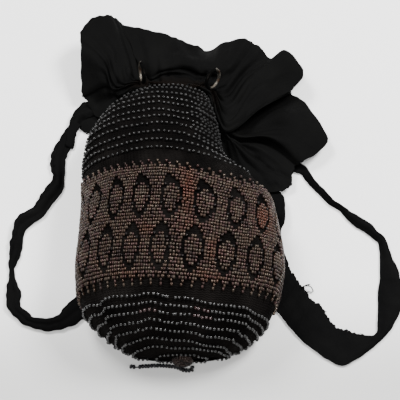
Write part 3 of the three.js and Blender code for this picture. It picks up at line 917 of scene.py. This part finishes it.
def tube_object(name, paths, radius, sides=6):
    """Thin round threads along given paths, in one mesh."""
    points = []
    quads = []
    start = 0
    turns = 2 * np.pi * np.arange(sides)[:, None] / sides
    for path in paths:
        along = unit(np.gradient(path, axis=0))
        upright = np.abs(along[:, 2:]) > 0.9
        aside = unit(np.cross(along, np.where(upright, (1.0, 0.0, 0.0), (0.0, 0.0, 1.0))))
        over = np.cross(aside, along)
        rings = aside[:, None] * np.cos(turns) + over[:, None] * np.sin(turns)
        points.append((path[:, None] + rings * radius).reshape(-1, 3))
        index = start + np.arange(len(path) * sides).reshape(len(path), sides)
        after = np.roll(index, -1, axis=1)
        quads.append(strip(index[:-1], index[1:], after[1:], after[:-1]))
        start += len(path) * sides
    points = np.concatenate(points)
    points[:, 2] = np.maximum(points[:, 2], CLEARANCE)
    return new_object(name, points, np.concatenate(quads))


# Materials

class Paint:
    """A material under construction: its shader and short ways to add nodes."""

    def __init__(self, name):
        self.material = bpy.data.materials.new(name)
        self.material.use_nodes = True
        self.tree = self.material.node_tree
        self.shader = self.tree.nodes["Principled BSDF"]

    def fill(self, socket, value):
        """Links a socket to another one, or gives it a constant."""
        if isinstance(value, bpy.types.NodeSocket):
            self.tree.links.new(value, socket)
        else:
            socket.default_value = value

    def set(self, **values):
        for name, value in values.items():
            self.fill(self.shader.inputs[name.replace("_", " ")], value)

    def node(self, kind, inputs=None, **settings):
        node = self.tree.nodes.new("ShaderNode" + kind)
        for name, value in settings.items():
            setattr(node, name, value)
        for socket, value in (inputs or {}).items():
            self.fill(node.inputs[socket], value)
        return node

    def math(self, operation, *values):
        return self.node("Math", dict(enumerate(values)), operation=operation).outputs[0]

    def coordinates(self, kind):
        return self.node("TexCoord").outputs[kind]

    def parts(self, where):
        return self.node("SeparateXYZ", {0: where}).outputs

    def noise(self, where, scale, detail=3.0, stretch=None):
        if stretch is not None:
            where = self.node("Mapping", {"Vector": where, "Scale": stretch}).outputs["Vector"]
        return self.node("TexNoise", {"Vector": where, "Scale": scale, "Detail": detail}).outputs["Fac"]

    def ramp(self, factor, *stops):
        ramp = self.node("ValToRGB", {"Fac": factor})
        while len(ramp.color_ramp.elements) < len(stops):
            ramp.color_ramp.elements.new(0.5)
        for element, (position, colour) in zip(ramp.color_ramp.elements, stops):
            element.position = position
            element.color = (*colour, 1.0)
        return ramp.outputs["Color"]

    def spread(self, factor, low, high):
        return self.node("MapRange", {"Value": factor, "To Min": low, "To Max": high}).outputs["Result"]

    def rise(self, value, low, high):
        ends = {"Value": value, "From Min": low, "From Max": high}
        return self.node("MapRange", ends, interpolation_type="SMOOTHSTEP").outputs["Result"]

    def mix(self, factor, first, second):
        return self.node("Mix", {"Factor": factor, 6: first, 7: second}, data_type="RGBA").outputs[2]

    def bump(self, height, strength, distance, under=None):
        node = self.node("Bump", {"Height": height, "Strength": strength, "Distance": distance})
        if under is not None:
            self.fill(node.inputs["Normal"], under)
        return node.outputs["Normal"]


def knit_material():
    """Black knitted thread: columns of slanted stitches under a mottled dusting, and painted light that
    makes it paler towards the foot.
    """
    paint = Paint("knit")
    place = paint.coordinates("Object")
    cloth = paint.parts(paint.coordinates("UV"))
    across = paint.math("FRACT", paint.math("DIVIDE", cloth["X"], STITCH_WIDTH))
    slant = paint.math("ABSOLUTE", paint.math("SUBTRACT", across, 0.5))
    row = paint.math("ADD", paint.math("DIVIDE", cloth["Y"], STITCH_LENGTH), slant)
    loop = paint.math("SINE", paint.math("MULTIPLY", row, 2 * math.pi))
    rib = paint.math("SINE", paint.math("MULTIPLY", across, math.pi))
    stitches = paint.math("ADD", paint.math("MULTIPLY", loop, STITCH_SLANT), rib)
    fuzz = paint.bump(paint.noise(place, 900), 0.25, 0.0003)
    # painted light: the knit is painted paler towards the foot, on top of the mottled dusting
    painted_foot_light = paint.math("MULTIPLY", cloth["Y"], KNIT_FOOT_LIGHT / BODY_LENGTH)
    dust_and_foot_light = paint.math("ADD", paint.noise(place, 60, 5), painted_foot_light)
    black = (0.3, (0.00055, 0.00055, 0.00055))
    grey = (0.6, (0.0017, 0.0014, 0.0013))
    pale = (0.95, (0.0055, 0.0047, 0.0043))
    relief = paint.bump(stitches, 0.7, 0.0006, fuzz)
    paint.set(Base_Color=paint.ramp(dust_and_foot_light, black, grey, pale), Normal=relief)
    paint.set(Roughness=0.85, Specular_IOR_Level=0.02)
    return paint.material


def bead_material(name, metallic, gloss):
    """Lustrous seed beads, each with a tone and a roughness of its own."""
    paint = Paint(name)
    tone = paint.node("VertexColor", layer_name="tone").outputs
    paint.set(Base_Color=tone["Color"], Roughness=tone["Alpha"])
    paint.set(Metallic=metallic, Specular_IOR_Level=gloss)
    return paint.material


def woven(paint, crumple, layers):
    """The relief of woven cloth, a soft crumple under layers of threads, and the first layer's threads."""
    scale, strength, depth = crumple
    normal = paint.bump(paint.noise(paint.coordinates("Object"), scale, 4), strength, depth)
    threads = []
    for stretch, strength, depth in layers:
        threads.append(paint.noise(paint.coordinates("UV"), 1.0, 2, stretch))
        normal = paint.bump(threads[-1], strength, depth, normal)
    return normal, threads[0]


def silk_material():
    """Thin black silk: a fine plain weave with slubs and a low sheen, stained brown inside the mouth."""
    paint = Paint("silk")
    layers = [((3.2, 0.35, 1), 0.22, 0.0004), ((0.3, 3.2, 1), 0.22, 0.0004)]
    relief, warp = woven(paint, (70, 0.22, 0.004), layers)
    wear = paint.noise(paint.coordinates("Object"), 28, 4)
    black = paint.ramp(wear, (0.3, (0.0008, 0.0008, 0.0008)), (0.75, (0.002, 0.002, 0.0019)))
    brown = paint.ramp(wear, (0.3, (0.0012, 0.0007, 0.0005)), (0.75, (0.0026, 0.0015, 0.001)))
    outside = paint.rise(paint.parts(paint.coordinates("UV"))["Y"], *SILK_BROWN_END)
    paint.set(Base_Color=paint.mix(outside, brown, black), Normal=relief)
    paint.set(Roughness=paint.spread(warp, 0.65, 0.8), Specular_IOR_Level=0.028)
    return paint.material


def ribbon_material():
    """Black ribbon: fine ribs across its length, rubbed paler in places."""
    paint = Paint("ribbon")
    layers = [((0.5, 3.0, 1), 0.3, 0.0005), ((4.0, 0.3, 1), 0.15, 0.0004)]
    relief, _ = woven(paint, (110, 0.3, 0.003), layers)
    wear = paint.noise(paint.coordinates("Object"), 45, 4)
    colour = paint.ramp(wear, (0.3, (0.0007, 0.0007, 0.0008)), (0.8, (0.0018, 0.0018, 0.0017)))
    paint.set(Base_Color=colour, Normal=relief, Roughness=0.7, Specular_IOR_Level=0.03)
    return paint.material


def ring_material():
    """Tarnished brass wire with rust spots."""
    paint = Paint("ring_metal")
    spots = paint.noise(paint.coordinates("Object"), 260, 5)
    rust = (0.34, (0.04, 0.017, 0.008))
    dull = (0.45, (0.046, 0.039, 0.031))
    bright = (0.64, (0.1, 0.091, 0.076))
    paint.set(Base_Color=paint.ramp(spots, rust, dull, bright), Normal=paint.bump(spots, 0.4, 0.0004))
    paint.set(Roughness=paint.spread(spots, 0.75, 0.3), Metallic=0.85)
    return paint.material


def thread_material():
    """Black sewing thread."""
    paint = Paint("thread")
    fuzz = paint.noise(paint.coordinates("Object"), 700, 3)
    colour = paint.ramp(fuzz, (0.3, (0.0007, 0.0007, 0.0007)), (0.7, (0.0022, 0.0022, 0.0021)))
    paint.set(Base_Color=colour, Normal=paint.bump(fuzz, 0.4, 0.0003))
    paint.set(Roughness=0.8, Specular_IOR_Level=0.03)
    return paint.material


def floor_material():
    """Pale matt table top, with painted shade that darkens it just in front of the bag."""
    paint = Paint("table_top")
    place = paint.coordinates("Object")
    y = paint.parts(place)["Y"]
    # painted shade: darker just in front of the bag, pale again behind it and far ahead
    pale = paint.math("MAXIMUM", *[paint.rise(y, low * MM, high * MM) for low, high in FLOOR_SHADES])
    shade = paint.math("ADD", pale, paint.math("MULTIPLY", paint.noise(place, 8, 4), 0.12))
    colour = paint.ramp(shade, (0.0, (0.52, 0.52, 0.51)), (1.0, (0.86, 0.86, 0.855)))
    paint.set(Base_Color=colour, Roughness=0.8, Specular_IOR_Level=0.2)
    return paint.material


def dress(piece, material, node=None):
    """Gives a piece its material and ties it to the object, in place of a node where it has one."""
    if node is not None:
        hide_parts(node)
    piece.data.materials.append(material)
    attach(piece, "root")
    return piece


# Knit and beads

def build_knit():
    """The knit bag: a hollow wall, ridged under its bead rows."""
    places = np.linspace(0, BODY_LENGTH - KNIT_END, KNIT_ROWS)[:, None]
    angles = np.linspace(*ONCE_ROUND, KNIT_COLUMNS)
    outside = knit_point(places, angles)
    inside = knit_point(places, angles, lift=-KNIT_WALL, lowest=UNDERSIDE + KNIT_WALL)
    girths = np.linalg.norm(np.diff(outside, axis=1), axis=-1).sum(axis=1)
    u = np.linspace(0, girths.max(), KNIT_COLUMNS)
    uv = np.stack(np.broadcast_arrays(u, places), axis=-1).reshape(-1, 2)
    points = np.concatenate([outside.reshape(-1, 3), inside.reshape(-1, 3)])
    quads = sheet_quads(*outside.shape[:2])
    piece = new_object("knit_bag", points, quads, uv=np.concatenate([uv, uv]))
    dress(piece, knit_material(), "beaded_body")


def girth_lengths(place, stretched=False):
    """Angles round the bag from the middle of its underside, and the length of knit up to each."""
    angles = np.linspace(*ONCE_ROUND, GIRTH_STEPS + 1)
    points = knit_point(place, angles)
    steps = np.linalg.norm(np.diff(points, axis=0), axis=-1)
    if stretched:
        spacing = np.interp(points[:-1, 0], BAND_STRETCH["x"], BAND_STRETCH["spacing"])
        spacing = spacing * np.interp(points[:-1, 1], *BAND_TIGHTENING)
        steps = steps / np.where(np.sin(angles[:-1]) > 0, spacing, 1)
    return angles, np.concatenate([[0], np.cumsum(steps)])


def even_angles(place, count, shift=0.0, stretched=False):
    """Angles that share one round of the bag evenly, turned by a shift in shares."""
    angles, lengths = girth_lengths(place, stretched)
    wanted = (np.arange(count) + 0.5 + shift) / count
    return np.interp((wanted % 1) * lengths[-1], lengths, angles)


def bead_row(place, angles, radius, stray):
    """Where beads sit along one row of the knit: centres, hole directions and outward directions."""
    angles = angles + RANDOM.normal(0, stray[0], len(angles))
    places = place + row_wave(place, angles) + RANDOM.normal(0, stray[1], len(angles))
    centres, ahead, behind = (knit_point(places, angles + step, lift=radius * BEAD_LIFT, lowest=radius)
                              for step in (0, ANGLE_FEELER / 2, -ANGLE_FEELER / 2))
    holes = unit(ahead - behind + RANDOM.normal(0, BEAD_TILT, centres.shape))
    normals = body_normal(places, angles)
    normals = unit(normals - holes * np.sum(normals * holes, axis=-1, keepdims=True))
    return centres, holes, normals


def join_rows(rows):
    """The bead places of many rows as one set."""
    return [np.concatenate(parts) for parts in zip(*rows)]


def spaced_row(place, pitch, between=None):
    """A row of single spaced beads round the bag, or only between two angles."""
    girth = girth_lengths(place)[1][-1]
    angles = even_angles(place, max(3, round(girth / pitch)))
    if between is not None:
        angles = angles[(angles > between[0]) & (angles < between[1])]
    return bead_row(place, angles, ROW_BEAD_RADIUS, ROW_STRAY)


def patch_share(centres, x, y, reach_x, reach_y):
    """1 in the middle of a patch of the upper side, fading outwards."""
    across = ((centres[:, 0] - x) / reach_x) ** 2 + ((centres[:, 1] - y) / reach_y) ** 2
    return np.exp(-across) * (centres[:, 2] > UPPER_SIDE)


def row_tones(centres):
    """Black and grey beads, with runs of red ones at the foot, and how far each is darkened and dulled:
    painted shade in the fold by the mouth, darker rows by the rim and at the right of the foot.
    """
    tones = ROW_TONES[RANDOM.choice(len(ROW_TONES), len(centres), p=ROW_TONE_SHARES)]
    for patch in zip(*RED_PATCHES.values()):
        red = patch_share(centres, *patch) * RANDOM.uniform(*RED_SPREAD, len(centres)) > RED_FROM
        tones[red] = RED_TONE
    dust_and_shade = np.zeros(len(centres))
    for strength, x_from, x_full, side, y_from, y_full in zip(*DUST_AND_SHADE_PARTS.values()):
        across = smooth_step(centres[:, 0], x_from, x_full)
        along = smooth_step(side * centres[:, 1], y_from, y_full)
        dust_and_shade = np.maximum(dust_and_shade, strength * across * along)
    # painted shade darkens the beads in the fold by the mouth; the other parts darken them by the rim and
    # at the foot
    return tones * (1 - DUST_AND_SHADE_DARKENING * dust_and_shade)[:, None], dust_and_shade


def build_bead_rows(name, crowns, pitch, gloss, material, crowded=()):
    """Rows of single spaced beads at given places along the crown, some of them only on its right side."""
    rows = [spaced_row(place, pitch) for place in place_at(crowns)]
    for place in place_at(crowded):
        start, end = CROWDED_ANGLES
        place = place + RANDOM.normal(0, CROWDED_STRAY[0])
        rows.append(spaced_row(place, pitch, (start, end + RANDOM.normal(0, CROWDED_STRAY[1]))))
    centres, holes, normals = join_rows(rows)
    tones, dust_and_shade = row_tones(centres)
    radius = ROW_BEAD_RADIUS * RANDOM.normal(1, BEAD_SPREAD, len(centres))
    dull = dullness(len(centres), *gloss)
    dull = dull + (DUST_DULL - dull) * dust_and_shade * DUST_COVER
    piece = bead_object(name, centres, holes, normals, ROW_BEAD_LENGTH, radius, tones, dull)
    dress(piece, material)


def rust_share(centres):
    """How rusty the beads are, most in the middle of a rusted patch."""
    share = np.zeros(len(centres))
    for *patch, strength in zip(*RUST_PATCHES.values()):
        share = np.maximum(share, strength * patch_share(centres, *patch))
    return share


def band_tones(centres):
    """Mixed silver, bronze and mauve beads in drifting streaks, with rusted patches."""
    x, y = centres[:, :2].T
    drift = 0.5 + 0.5 * np.sin(0.16 * x + 0.31 * y) * np.sin(0.09 * y + 1)
    pick = RANDOM.choice(len(BAND_TONES), len(centres), p=BAND_TONE_SHARES)
    tones = BAND_TONES[pick] * np.interp(drift, (0, 1), BAND_SHADES)[:, None]
    rusty = (rust_share(centres) * RANDOM.uniform(*RUST_SPREAD, len(centres)))[:, None]
    return tones * (1 - rusty) + RUST_TONE * rusty


def band_chart():
    """All rows of the band from top to bottom: points, plain rows and two rows of figures."""
    shifted = [row[-FIGURE_SHIFT:] + row[:-FIGURE_SHIFT] for row in FIGURE]
    return EDGE_POINT + PLAIN_ROW * 2 + FIGURE + PLAIN_ROW + shifted + PLAIN_ROW + EDGE_POINT[::-1]


def band_row(place, chart):
    """Where the beads of one row of the band sit, how long each is and which are dark."""
    angles = even_angles(place, BAND_COLUMNS, BAND_SHIFT, stretched=True)
    points = knit_point(place + row_wave(place, angles), angles)
    spacing = np.linalg.norm(np.roll(points, -1, axis=0) - points, axis=-1)
    marks = np.array([chart[i % len(chart)] for i in range(BAND_COLUMNS)])
    columns = np.flatnonzero(marks != ".")
    beads = bead_row(place, angles[columns], BAND_BEAD_RADIUS, BAND_STRAY)
    return *beads, BAND_BEAD_FILL * spacing[columns], marks[columns] == "x"


def build_band(material):
    """The patterned band: close rows of beads after the chart, in a few pieces."""
    chart = band_chart()
    places = np.linspace(place_at(BAND_TOP), place_at(BAND_BOTTOM), len(chart))
    for number, rows in enumerate(np.array_split(np.arange(len(chart)), BAND_PIECES), 1):
        centres, holes, normals, lengths, dark = join_rows([band_row(places[i], chart[i]) for i in rows])
        radius = BAND_BEAD_RADIUS * RANDOM.normal(1, BEAD_SPREAD, len(centres))
        tones = np.where(dark[:, None], DARK_TONE, band_tones(centres))
        dull = dullness(len(centres), *BAND_DULL)
        beads = bead_object(f"band_beads_{number}", centres, holes, normals, lengths, radius, tones, dull)
        dress(beads, material)


# Silk

def inside_point(place, angle, depth):
    """A point so deep under the outside of the bag."""
    step = body_point(place + FEELER, angle) - body_point(place, angle)
    across = body_point(place, angle + ANGLE_FEELER) - body_point(place, angle - ANGLE_FEELER)
    return body_point(place, angle) - unit(np.cross(across, step)) * depth


def lip_share(turn):
    """How fully the silk forms a lip at an angle round the mouth."""
    return plateau(turn, *LIP_TURNS)


def fold_points():
    """All folds of the silk as rows of points from inside the mouth to the hem, and how loose each is."""
    depth = KNIT_WALL + KNIT_INSET + COLLAR_GAP + SILK_THICK / 2
    known = {turn: np.array(place) for turn, *place in zip(*UNDER_PLACES.values())}
    folds = []
    for turn, *places in zip(*SILK_FOLDS.values()):
        angle = math.radians(turn)
        rim = inside_point(0, angle, depth)
        out = 2 * rim - inside_point(MOUTH_STEP, angle, depth)
        near, mid, hem = np.reshape(places, (3, 3))
        lip = lip_share(turn)
        under = known.get(turn, (near + mid) / 2)
        near = near + lip * np.array((0, -LIP_HOLLOW, LINING_RISE))
        hollow = np.array((under[0], mid[1] - LIP_REACH - LIP_HOLLOW, near[2] - LINING_SAG))
        under = under * (1 - lip) + hollow * lip
        mid = mid + lip * np.array((0, -LIP_REACH, LIP_RISE))
        folds.append([inside_point(COLLAR_DEPTH, angle, depth), rim, out, near, under, mid, hem])
    tucks = [MOUTH_TUCK + part * (COLLAR_DEPTH - MOUTH_TUCK) for part in TUCKED_PARTS]
    for turn in TUCKED_TURNS:
        folds.append([inside_point(place, math.radians(turn), depth) for place in (COLLAR_DEPTH, *tucks)])
    loose = np.array([1.0] * len(SILK_FOLDS["turn"]) + [0.0] * len(TUCKED_TURNS))
    return np.array(folds), loose


def crease_height(x, y):
    """The height of the single creases at places on the table."""
    height = np.zeros_like(x)
    for ax, ay, bx, by, width, high in zip(*CREASES.values()):
        reach = (bx - ax) ** 2 + (by - ay) ** 2
        t = ((x - ax) * (bx - ax) + (y - ay) * (by - ay)) / reach
        aside = ((x - ax) * (by - ay) - (y - ay) * (bx - ax)) / math.sqrt(reach)
        height = height + high * plateau(t, *CREASE_ENDS) * np.exp(-(aside / width) ** 2)
    return height


def wrinkles(turn, part):
    """Small uneven wrinkles that cross each other over the folds."""
    height = np.zeros(np.broadcast(turn, part).shape)
    for _ in range(WRINKLE_COUNT):
        along = RANDOM.uniform(*WRINKLES_ALONG)
        across = RANDOM.uniform(*WRINKLES_ROUND)
        height = height + np.sin(across * turn + along * part + RANDOM.uniform(0, 6.3))
    return WRINKLE_HEIGHT * height


def silk_relief(turn, part, mouth_turn):
    """How far the silk stands off its folds: gathers, pleats, wrinkles and the folds along the lip."""
    rise = smooth_step(part, *GATHER_RISE)
    fall = 1 - GATHER_LOSS * smooth_step(part, *GATHER_FADE)
    wave = GATHER_HEIGHT * np.cos(turn + 1.3 * np.sin(0.31 * turn)) * rise * fall
    pleats = PLEAT_HEIGHT * np.cos(2.3 * turn + 3 * part) * rise
    strength = np.interp(mouth_turn, GATHERS["turn"], GATHERS["strength"])
    lip = LIP_FOLD * plateau(part, *LIP_FOLD_PARTS) * lip_share(mouth_turn)
    lip_folds = lip * np.sin(56 * part + 0.12 * turn)
    return (wave + pleats) * strength + wrinkles(turn, part) * rise + lip_folds


def silk_grid():
    """Points of the silk from inside the mouth to the hem, all round the mouth, with its gathers."""
    folds, loose = fold_points()
    count = len(folds)
    start = count - len(TUCKED_TURNS) // 2
    order = np.arange(start, start + count + 1) % count
    lines = np.linspace(0, count, count * SILK_LINES_PER_FOLD + 1)

    def between(values):
        return smooth_curve(np.arange(count + 1), values[order])(lines)

    rows = np.moveaxis(folds, 1, 0)
    rows = [np.stack([between(axis) for axis in row.T], axis=-1) for row in rows]
    grid = smooth_path(np.stack(rows), SILK_STEPS)
    looseness = between(loose)
    mouth_turn = between(np.concatenate([SILK_FOLDS["turn"], TUCKED_TURNS]))
    part = np.linspace(0, 1, SILK_STEPS + 1)[:, None]
    turn = 2 * np.pi * lines
    hem = waves(turn, HEM_WAVES) * looseness * smooth_step(part, *HEM_PART)
    grid = grid + unit(np.gradient(grid, axis=0)) * hem[..., None]
    relief = silk_relief(turn, part, mouth_turn)
    grid = grid + grid_normals(grid) * (relief * looseness)[..., None]
    grid[..., 2] += crease_height(grid[..., 0], grid[..., 1]) * looseness * smooth_step(part, *CREASE_RISE)
    uv = np.stack(np.broadcast_arrays(lines / count * SILK_FLAT[0], part * SILK_FLAT[1]), axis=-1)
    return grid, uv


def build_silk(material):
    """The silk top, gathered into the mouth and spread over the table."""
    grid, uv = silk_grid()
    piece = sheet_object("silk_cloth", grid, SILK_THICK, uv, lowest=2 * CLEARANCE)
    dress(piece, material, "silk_top")


# Ribbons

def frayed_edge(along, first, last):
    """How far the frayed edge of a ribbon is eaten in, in shares of its width."""
    inside = plateau(along, first, first + FRAY_FADE, last - FRAY_FADE, last)
    ragged = np.sin(0.9 * along) * np.sin(0.37 * along + 1) + 0.6 * np.sin(2.3 * along + 2)
    return FRAY_DEPTH * inside * ragged


def ribbon_grid(rungs, pleat, fray=None):
    """Points across and along a ribbon, with pleats along it, uneven edges and a frayed stretch."""
    middle = np.stack([rungs["ax"] + rungs["bx"], rungs["ay"] + rungs["by"]], axis=-1) / 2
    places = path_lengths(middle)
    steps = np.arange((len(places) - 1) * RIBBON_STEPS_PER_RUNG + 1) / RIBBON_STEPS_PER_RUNG
    along = np.interp(steps, np.arange(len(places)), places)
    column = {name: smooth_curve(places, values)(along) for name, values in rungs.items()}
    a, b = (np.stack([column[edge + axis] for axis in "xyz"], axis=-1) for edge in "ab")
    across = np.linspace(0, 1, RIBBON_POINTS_ACROSS)
    if fray is not None:
        b = b + (a - b) * frayed_edge(along, *places[list(fray)])[:, None]
    sway = unit(b - a) * (pleat * np.sin(0.7 * along) * np.sin(0.23 * along + 1))[:, None]
    a = a + sway * 0.6
    b = b + sway[::-1] * 0.5
    grid = a[:, None] + (b - a)[:, None] * across[:, None]
    width = np.linalg.norm(b - a, axis=-1).mean()
    along = along[:, None]
    relief = ribbon_relief(across, along, column["curl"][:, None], pleat)
    grid[..., 2] += RIBBON_THICK / 2 + RIBBON_LIFT + relief
    return grid, np.stack(np.broadcast_arrays(across * width, along), axis=-1)


def ribbon_relief(across, along, curl, pleat):
    """How far a ribbon bows up between its edges, with small wrinkles and pleats that drift along it."""
    bow = curl * (1 - np.abs(2 * across - 0.9) ** 1.5)
    wrinkle = RIBBON_WRINKLE * np.sin(0.55 * along + 4 * across) * np.sin(0.21 * along)
    drift = 0.012 * along + 0.3 * np.sin(0.05 * along)
    pleats = pleat * np.abs(np.sin(np.pi * (RIBBON_PLEATS * across + drift)))
    return bow + wrinkle * np.minimum(curl, 1) + pleats * np.minimum(curl * 2, 1)


def build_ribbon(name, node, rungs, material, pleat, fray=None):
    """One ribbon strap."""
    grid, uv = ribbon_grid(rungs, pleat, fray)
    piece = sheet_object(name, grid, RIBBON_THICK, uv)
    dress(piece, material, node)
    length = path_lengths(grid[:, RIBBON_POINTS_ACROSS // 2])[-1]


def build_scrap(name, rungs, material):
    """A short loose end of cloth that lies on the table."""
    grid, uv = ribbon_grid(rungs, SCRAP_PLEAT)
    uv = uv + (0, SILK_BROWN_END[1])  # clear of the stained part of the silk
    piece = dress(sheet_object(name, grid, RIBBON_THICK, uv), material)


def build_fray(thread):
    """Short loose threads along the frayed edge of the right ribbon, and two long ones."""
    grid, _ = ribbon_grid(RIGHT_RUNGS, RIGHT_PLEAT, FRAYED_RUNGS)
    first, last = (rung * RIBBON_STEPS_PER_RUNG for rung in FRAYED_RUNGS)
    edge = grid[first:last, -1]
    outward = unit(edge - grid[first:last, -2])
    along = unit(np.gradient(edge, axis=0))
    t = np.linspace(0, 1, FRAY_POINTS)[:, None]
    paths = []
    for i in RANDOM.choice(len(edge), FRAY_COUNT):
        reach = RANDOM.uniform(*FRAY_REACH)
        swing = RANDOM.normal(0, FRAY_SWING)
        path = edge[i] + outward[i] * (reach * t - FRAY_ROOT) + along[i] * swing * t ** 2
        path[:, 2] = np.maximum(path[:, 2] * (1 - FRAY_DROOP * t[:, 0]), FRAY_LOWEST)
        paths.append(path)
    dress(tube_object("ribbon_fray", paths, FRAY_RADIUS, sides=4), thread)
    loops = [smooth_line(loop, LOOSE_STEPS) for loop in LOOSE_THREADS]
    dress(tube_object("loose_threads", loops, THREAD_RADIUS), thread)


# Rings, knob and bead string

def ring_point(ring, turn, radius, out=0.0):
    """Points on a ring's circle, or off its plane, in table places."""
    turn = np.asarray(turn, float)
    flat = np.stack([np.cos(turn) * radius, np.sin(turn) * radius, np.zeros_like(turn) + out], axis=-1)
    upright = Matrix.Rotation(math.radians(90 + ring["lean"]), 3, "Y")
    turned = Matrix.Rotation(math.radians(ring["turn"]), 3, "Z") @ upright
    return flat @ np.array(turned).T + np.array(ring["place"])


def build_ring(name, ring, metal, thread):
    """A ring of tarnished wire, wound with the black thread that sews it to the silk; the winding covers
    its near half, a dark stand-in for the shade inside the mouth.
    """
    turns = np.linspace(0, 2 * np.pi, RING_STEPS + 1)
    wire = RING_WIRE_RADIUS + waves(turns, RING_WAVES)
    sides = np.linspace(0, 2 * np.pi, RING_SIDES + 1)
    grid = np.stack([ring_point(ring, turns, RING_RADIUS + wire * math.cos(side), wire * math.sin(side))
                     for side in sides], axis=1)
    index = np.arange(len(turns) * len(sides)).reshape(len(turns), len(sides))
    quads = strip(index[:-1, :-1], index[1:, :-1], index[1:, 1:], index[:-1, 1:])
    piece = new_object(name + "_wire", grid.reshape(-1, 3), quads)
    dress(piece, metal, name)
    dress(tube_object(name + "_stitches", [thread_coil(ring)], RING_THREAD_RADIUS), thread)


def thread_coil(ring):
    """Thread wound closely round a part of a ring's wire."""
    part = np.linspace(0, 1, RING_WINDING_STEPS * RING_WINDINGS)
    wind = 2 * np.pi * RING_WINDINGS * part
    place = RING_WOUND[0] + (RING_WOUND[1] - RING_WOUND[0]) * part
    radius = RING_RADIUS + RING_THREAD_REACH * np.cos(wind)
    return ring_point(ring, place, radius, RING_THREAD_REACH * np.sin(wind))


def build_knob(material):
    """The knob: rings of small bronze beads over a low dome that points to the foot."""
    normals = []
    holes = []
    for tilt in np.radians(KNOB_TILTS):
        girth = 2 * np.pi * KNOB_RADIUS * math.sin(tilt)
        count = max(3, int(girth / (KNOB_BEAD_PITCH * KNOB_BEAD_RADIUS)))
        for turn in 2 * np.pi * np.arange(count) / count + tilt:
            aside = np.array((math.cos(turn), 0, math.sin(turn)))
            normals.append(aside * math.sin(tilt) + (0, -math.cos(tilt), 0))
            holes.append((-math.sin(turn), 0, math.cos(turn)))
    normals = np.array(normals)
    centres = KNOB_PLACE + normals * (KNOB_RADIUS, KNOB_LENGTH - KNOB_BEAD_RADIUS, KNOB_RADIUS)
    tones = KNOB_TONES[RANDOM.choice(len(KNOB_TONES), len(centres))]
    dull = dullness(len(centres), *KNOB_DULL)
    size = (KNOB_BEAD_LENGTH, KNOB_BEAD_RADIUS)
    piece = bead_object("knob_beads", centres, np.array(holes), normals, *size, tones, dull)
    dress(piece, material, "tassel_knob")


def build_strand(material, thread):
    """The string of black seed beads, with a stretch of bare thread."""
    route = smooth_line(STRAND_ROUTE, STRAND_STEPS)
    length = path_lengths(route)[-1]
    places = np.arange(STRAND_START, length, STRAND_BEAD_PITCH)
    places = places[(places < STRAND_GAP[0] * length) | (places > STRAND_GAP[1] * length)]
    centres = along_path(route, places)
    ahead = along_path(route, places + STRAND_FEELER)
    holes = unit(ahead - centres + RANDOM.normal(0, STRAND_TILT, centres.shape))
    normals = unit(np.cross(holes, np.cross((0.0, 0.0, 1.0), holes) + 1e-6))
    centres[:, 2] = np.maximum(centres[:, 2], STRAND_BEAD_RADIUS)
    tones = STRAND_TONE * RANDOM.uniform(*STRAND_TONE_SPREAD, (len(centres), 1))
    dull = dullness(len(centres), *STRAND_DULL)
    size = (STRAND_BEAD_LENGTH, STRAND_BEAD_RADIUS)
    piece = bead_object("strand_beads", centres, holes, normals, *size, tones, dull)
    dress(piece, material, "bead_strand")
    dress(tube_object("strand_thread", [route[::8]], THREAD_RADIUS), thread)


# Stage

def build_stage():
    """A pale table top, soft light from above and a camera."""
    half = FLOOR_SIZE / 2
    corners = np.array([(-half, -half, 0), (half, -half, 0), (half, half, 0), (-half, half, 0)], float)
    floor = new_object("table_top", corners, np.array([(0, 1, 2, 3)]))
    floor.data.materials.append(floor_material())
    world = bpy.data.worlds.new("studio")
    world.use_nodes = True
    world.node_tree.nodes["Background"].inputs["Color"].default_value = (1.0, 1.0, 1.0, 1.0)
    world.node_tree.nodes["Background"].inputs["Strength"].default_value = WORLD_LIGHT
    bpy.context.scene.world = world
    for name, (place, size, power) in LIGHTS.items():
        add_light(name, place, size, power)
    add_camera()


def add_light(name, place, size, power):
    """A square soft light aimed at the bag."""
    lamp = bpy.data.lights.new(name, "AREA")
    lamp.size = size * MM
    lamp.energy = power
    light = bpy.data.objects.new(name, lamp)
    light.location = to_metres(place)
    aim = Vector(to_metres((0, 0, 0))) - light.location
    light.rotation_euler = aim.to_track_quat("-Z", "Y").to_euler()
    bpy.context.scene.collection.objects.link(light)


def add_camera():
    """The camera, looking down over the foot of the bag."""
    elevation = math.radians(CAMERA_ELEVATION)
    lens = bpy.data.cameras.new("camera")
    lens.angle = 2 * math.atan(FRAME_WIDTH / 2 / CAMERA_FOCUS)
    lens.clip_start = 0.01
    camera = bpy.data.objects.new("camera", lens)
    away = np.array((0, -math.cos(elevation), math.sin(elevation))) * CAMERA_DISTANCE
    camera.location = to_metres(away)
    camera.rotation_euler = (math.pi / 2 - elevation, 0, 0)
    bpy.context.scene.collection.objects.link(camera)
    bpy.context.scene.camera = camera


def main():
    build_stage()
    steel, bright, bronze, black = (bead_material(name, *gloss) for name, gloss in BEAD_GLOSS.items())
    ribbon = ribbon_material()
    silk = silk_material()
    thread = thread_material()
    metal = ring_material()
    build_knit()
    build_bead_rows("upper_beads", UPPER_ROWS, UPPER_BEAD_PITCH, UPPER_DULL, steel, CROWDED_ROWS)
    build_bead_rows("lower_beads", LOWER_ROWS, LOWER_BEAD_PITCH, LOWER_DULL, bright)
    build_band(bronze)
    build_silk(silk)
    build_ribbon("left_ribbon", "strap_left", LEFT_RUNGS, ribbon, LEFT_PLEAT)
    build_ribbon("right_ribbon", "strap_right", RIGHT_RUNGS, ribbon, RIGHT_PLEAT, FRAYED_RUNGS)
    build_scrap("ribbon_end", RIBBON_END_RUNGS, ribbon)
    build_scrap("silk_tail", SILK_TAIL_RUNGS, silk)
    build_fray(thread)
    for name, ring in RING_PLACES.items():
        build_ring(name, ring, metal, thread)
    build_knob(bronze)
    build_strand(black, thread)


main()
bpy.context.view_layer.update()
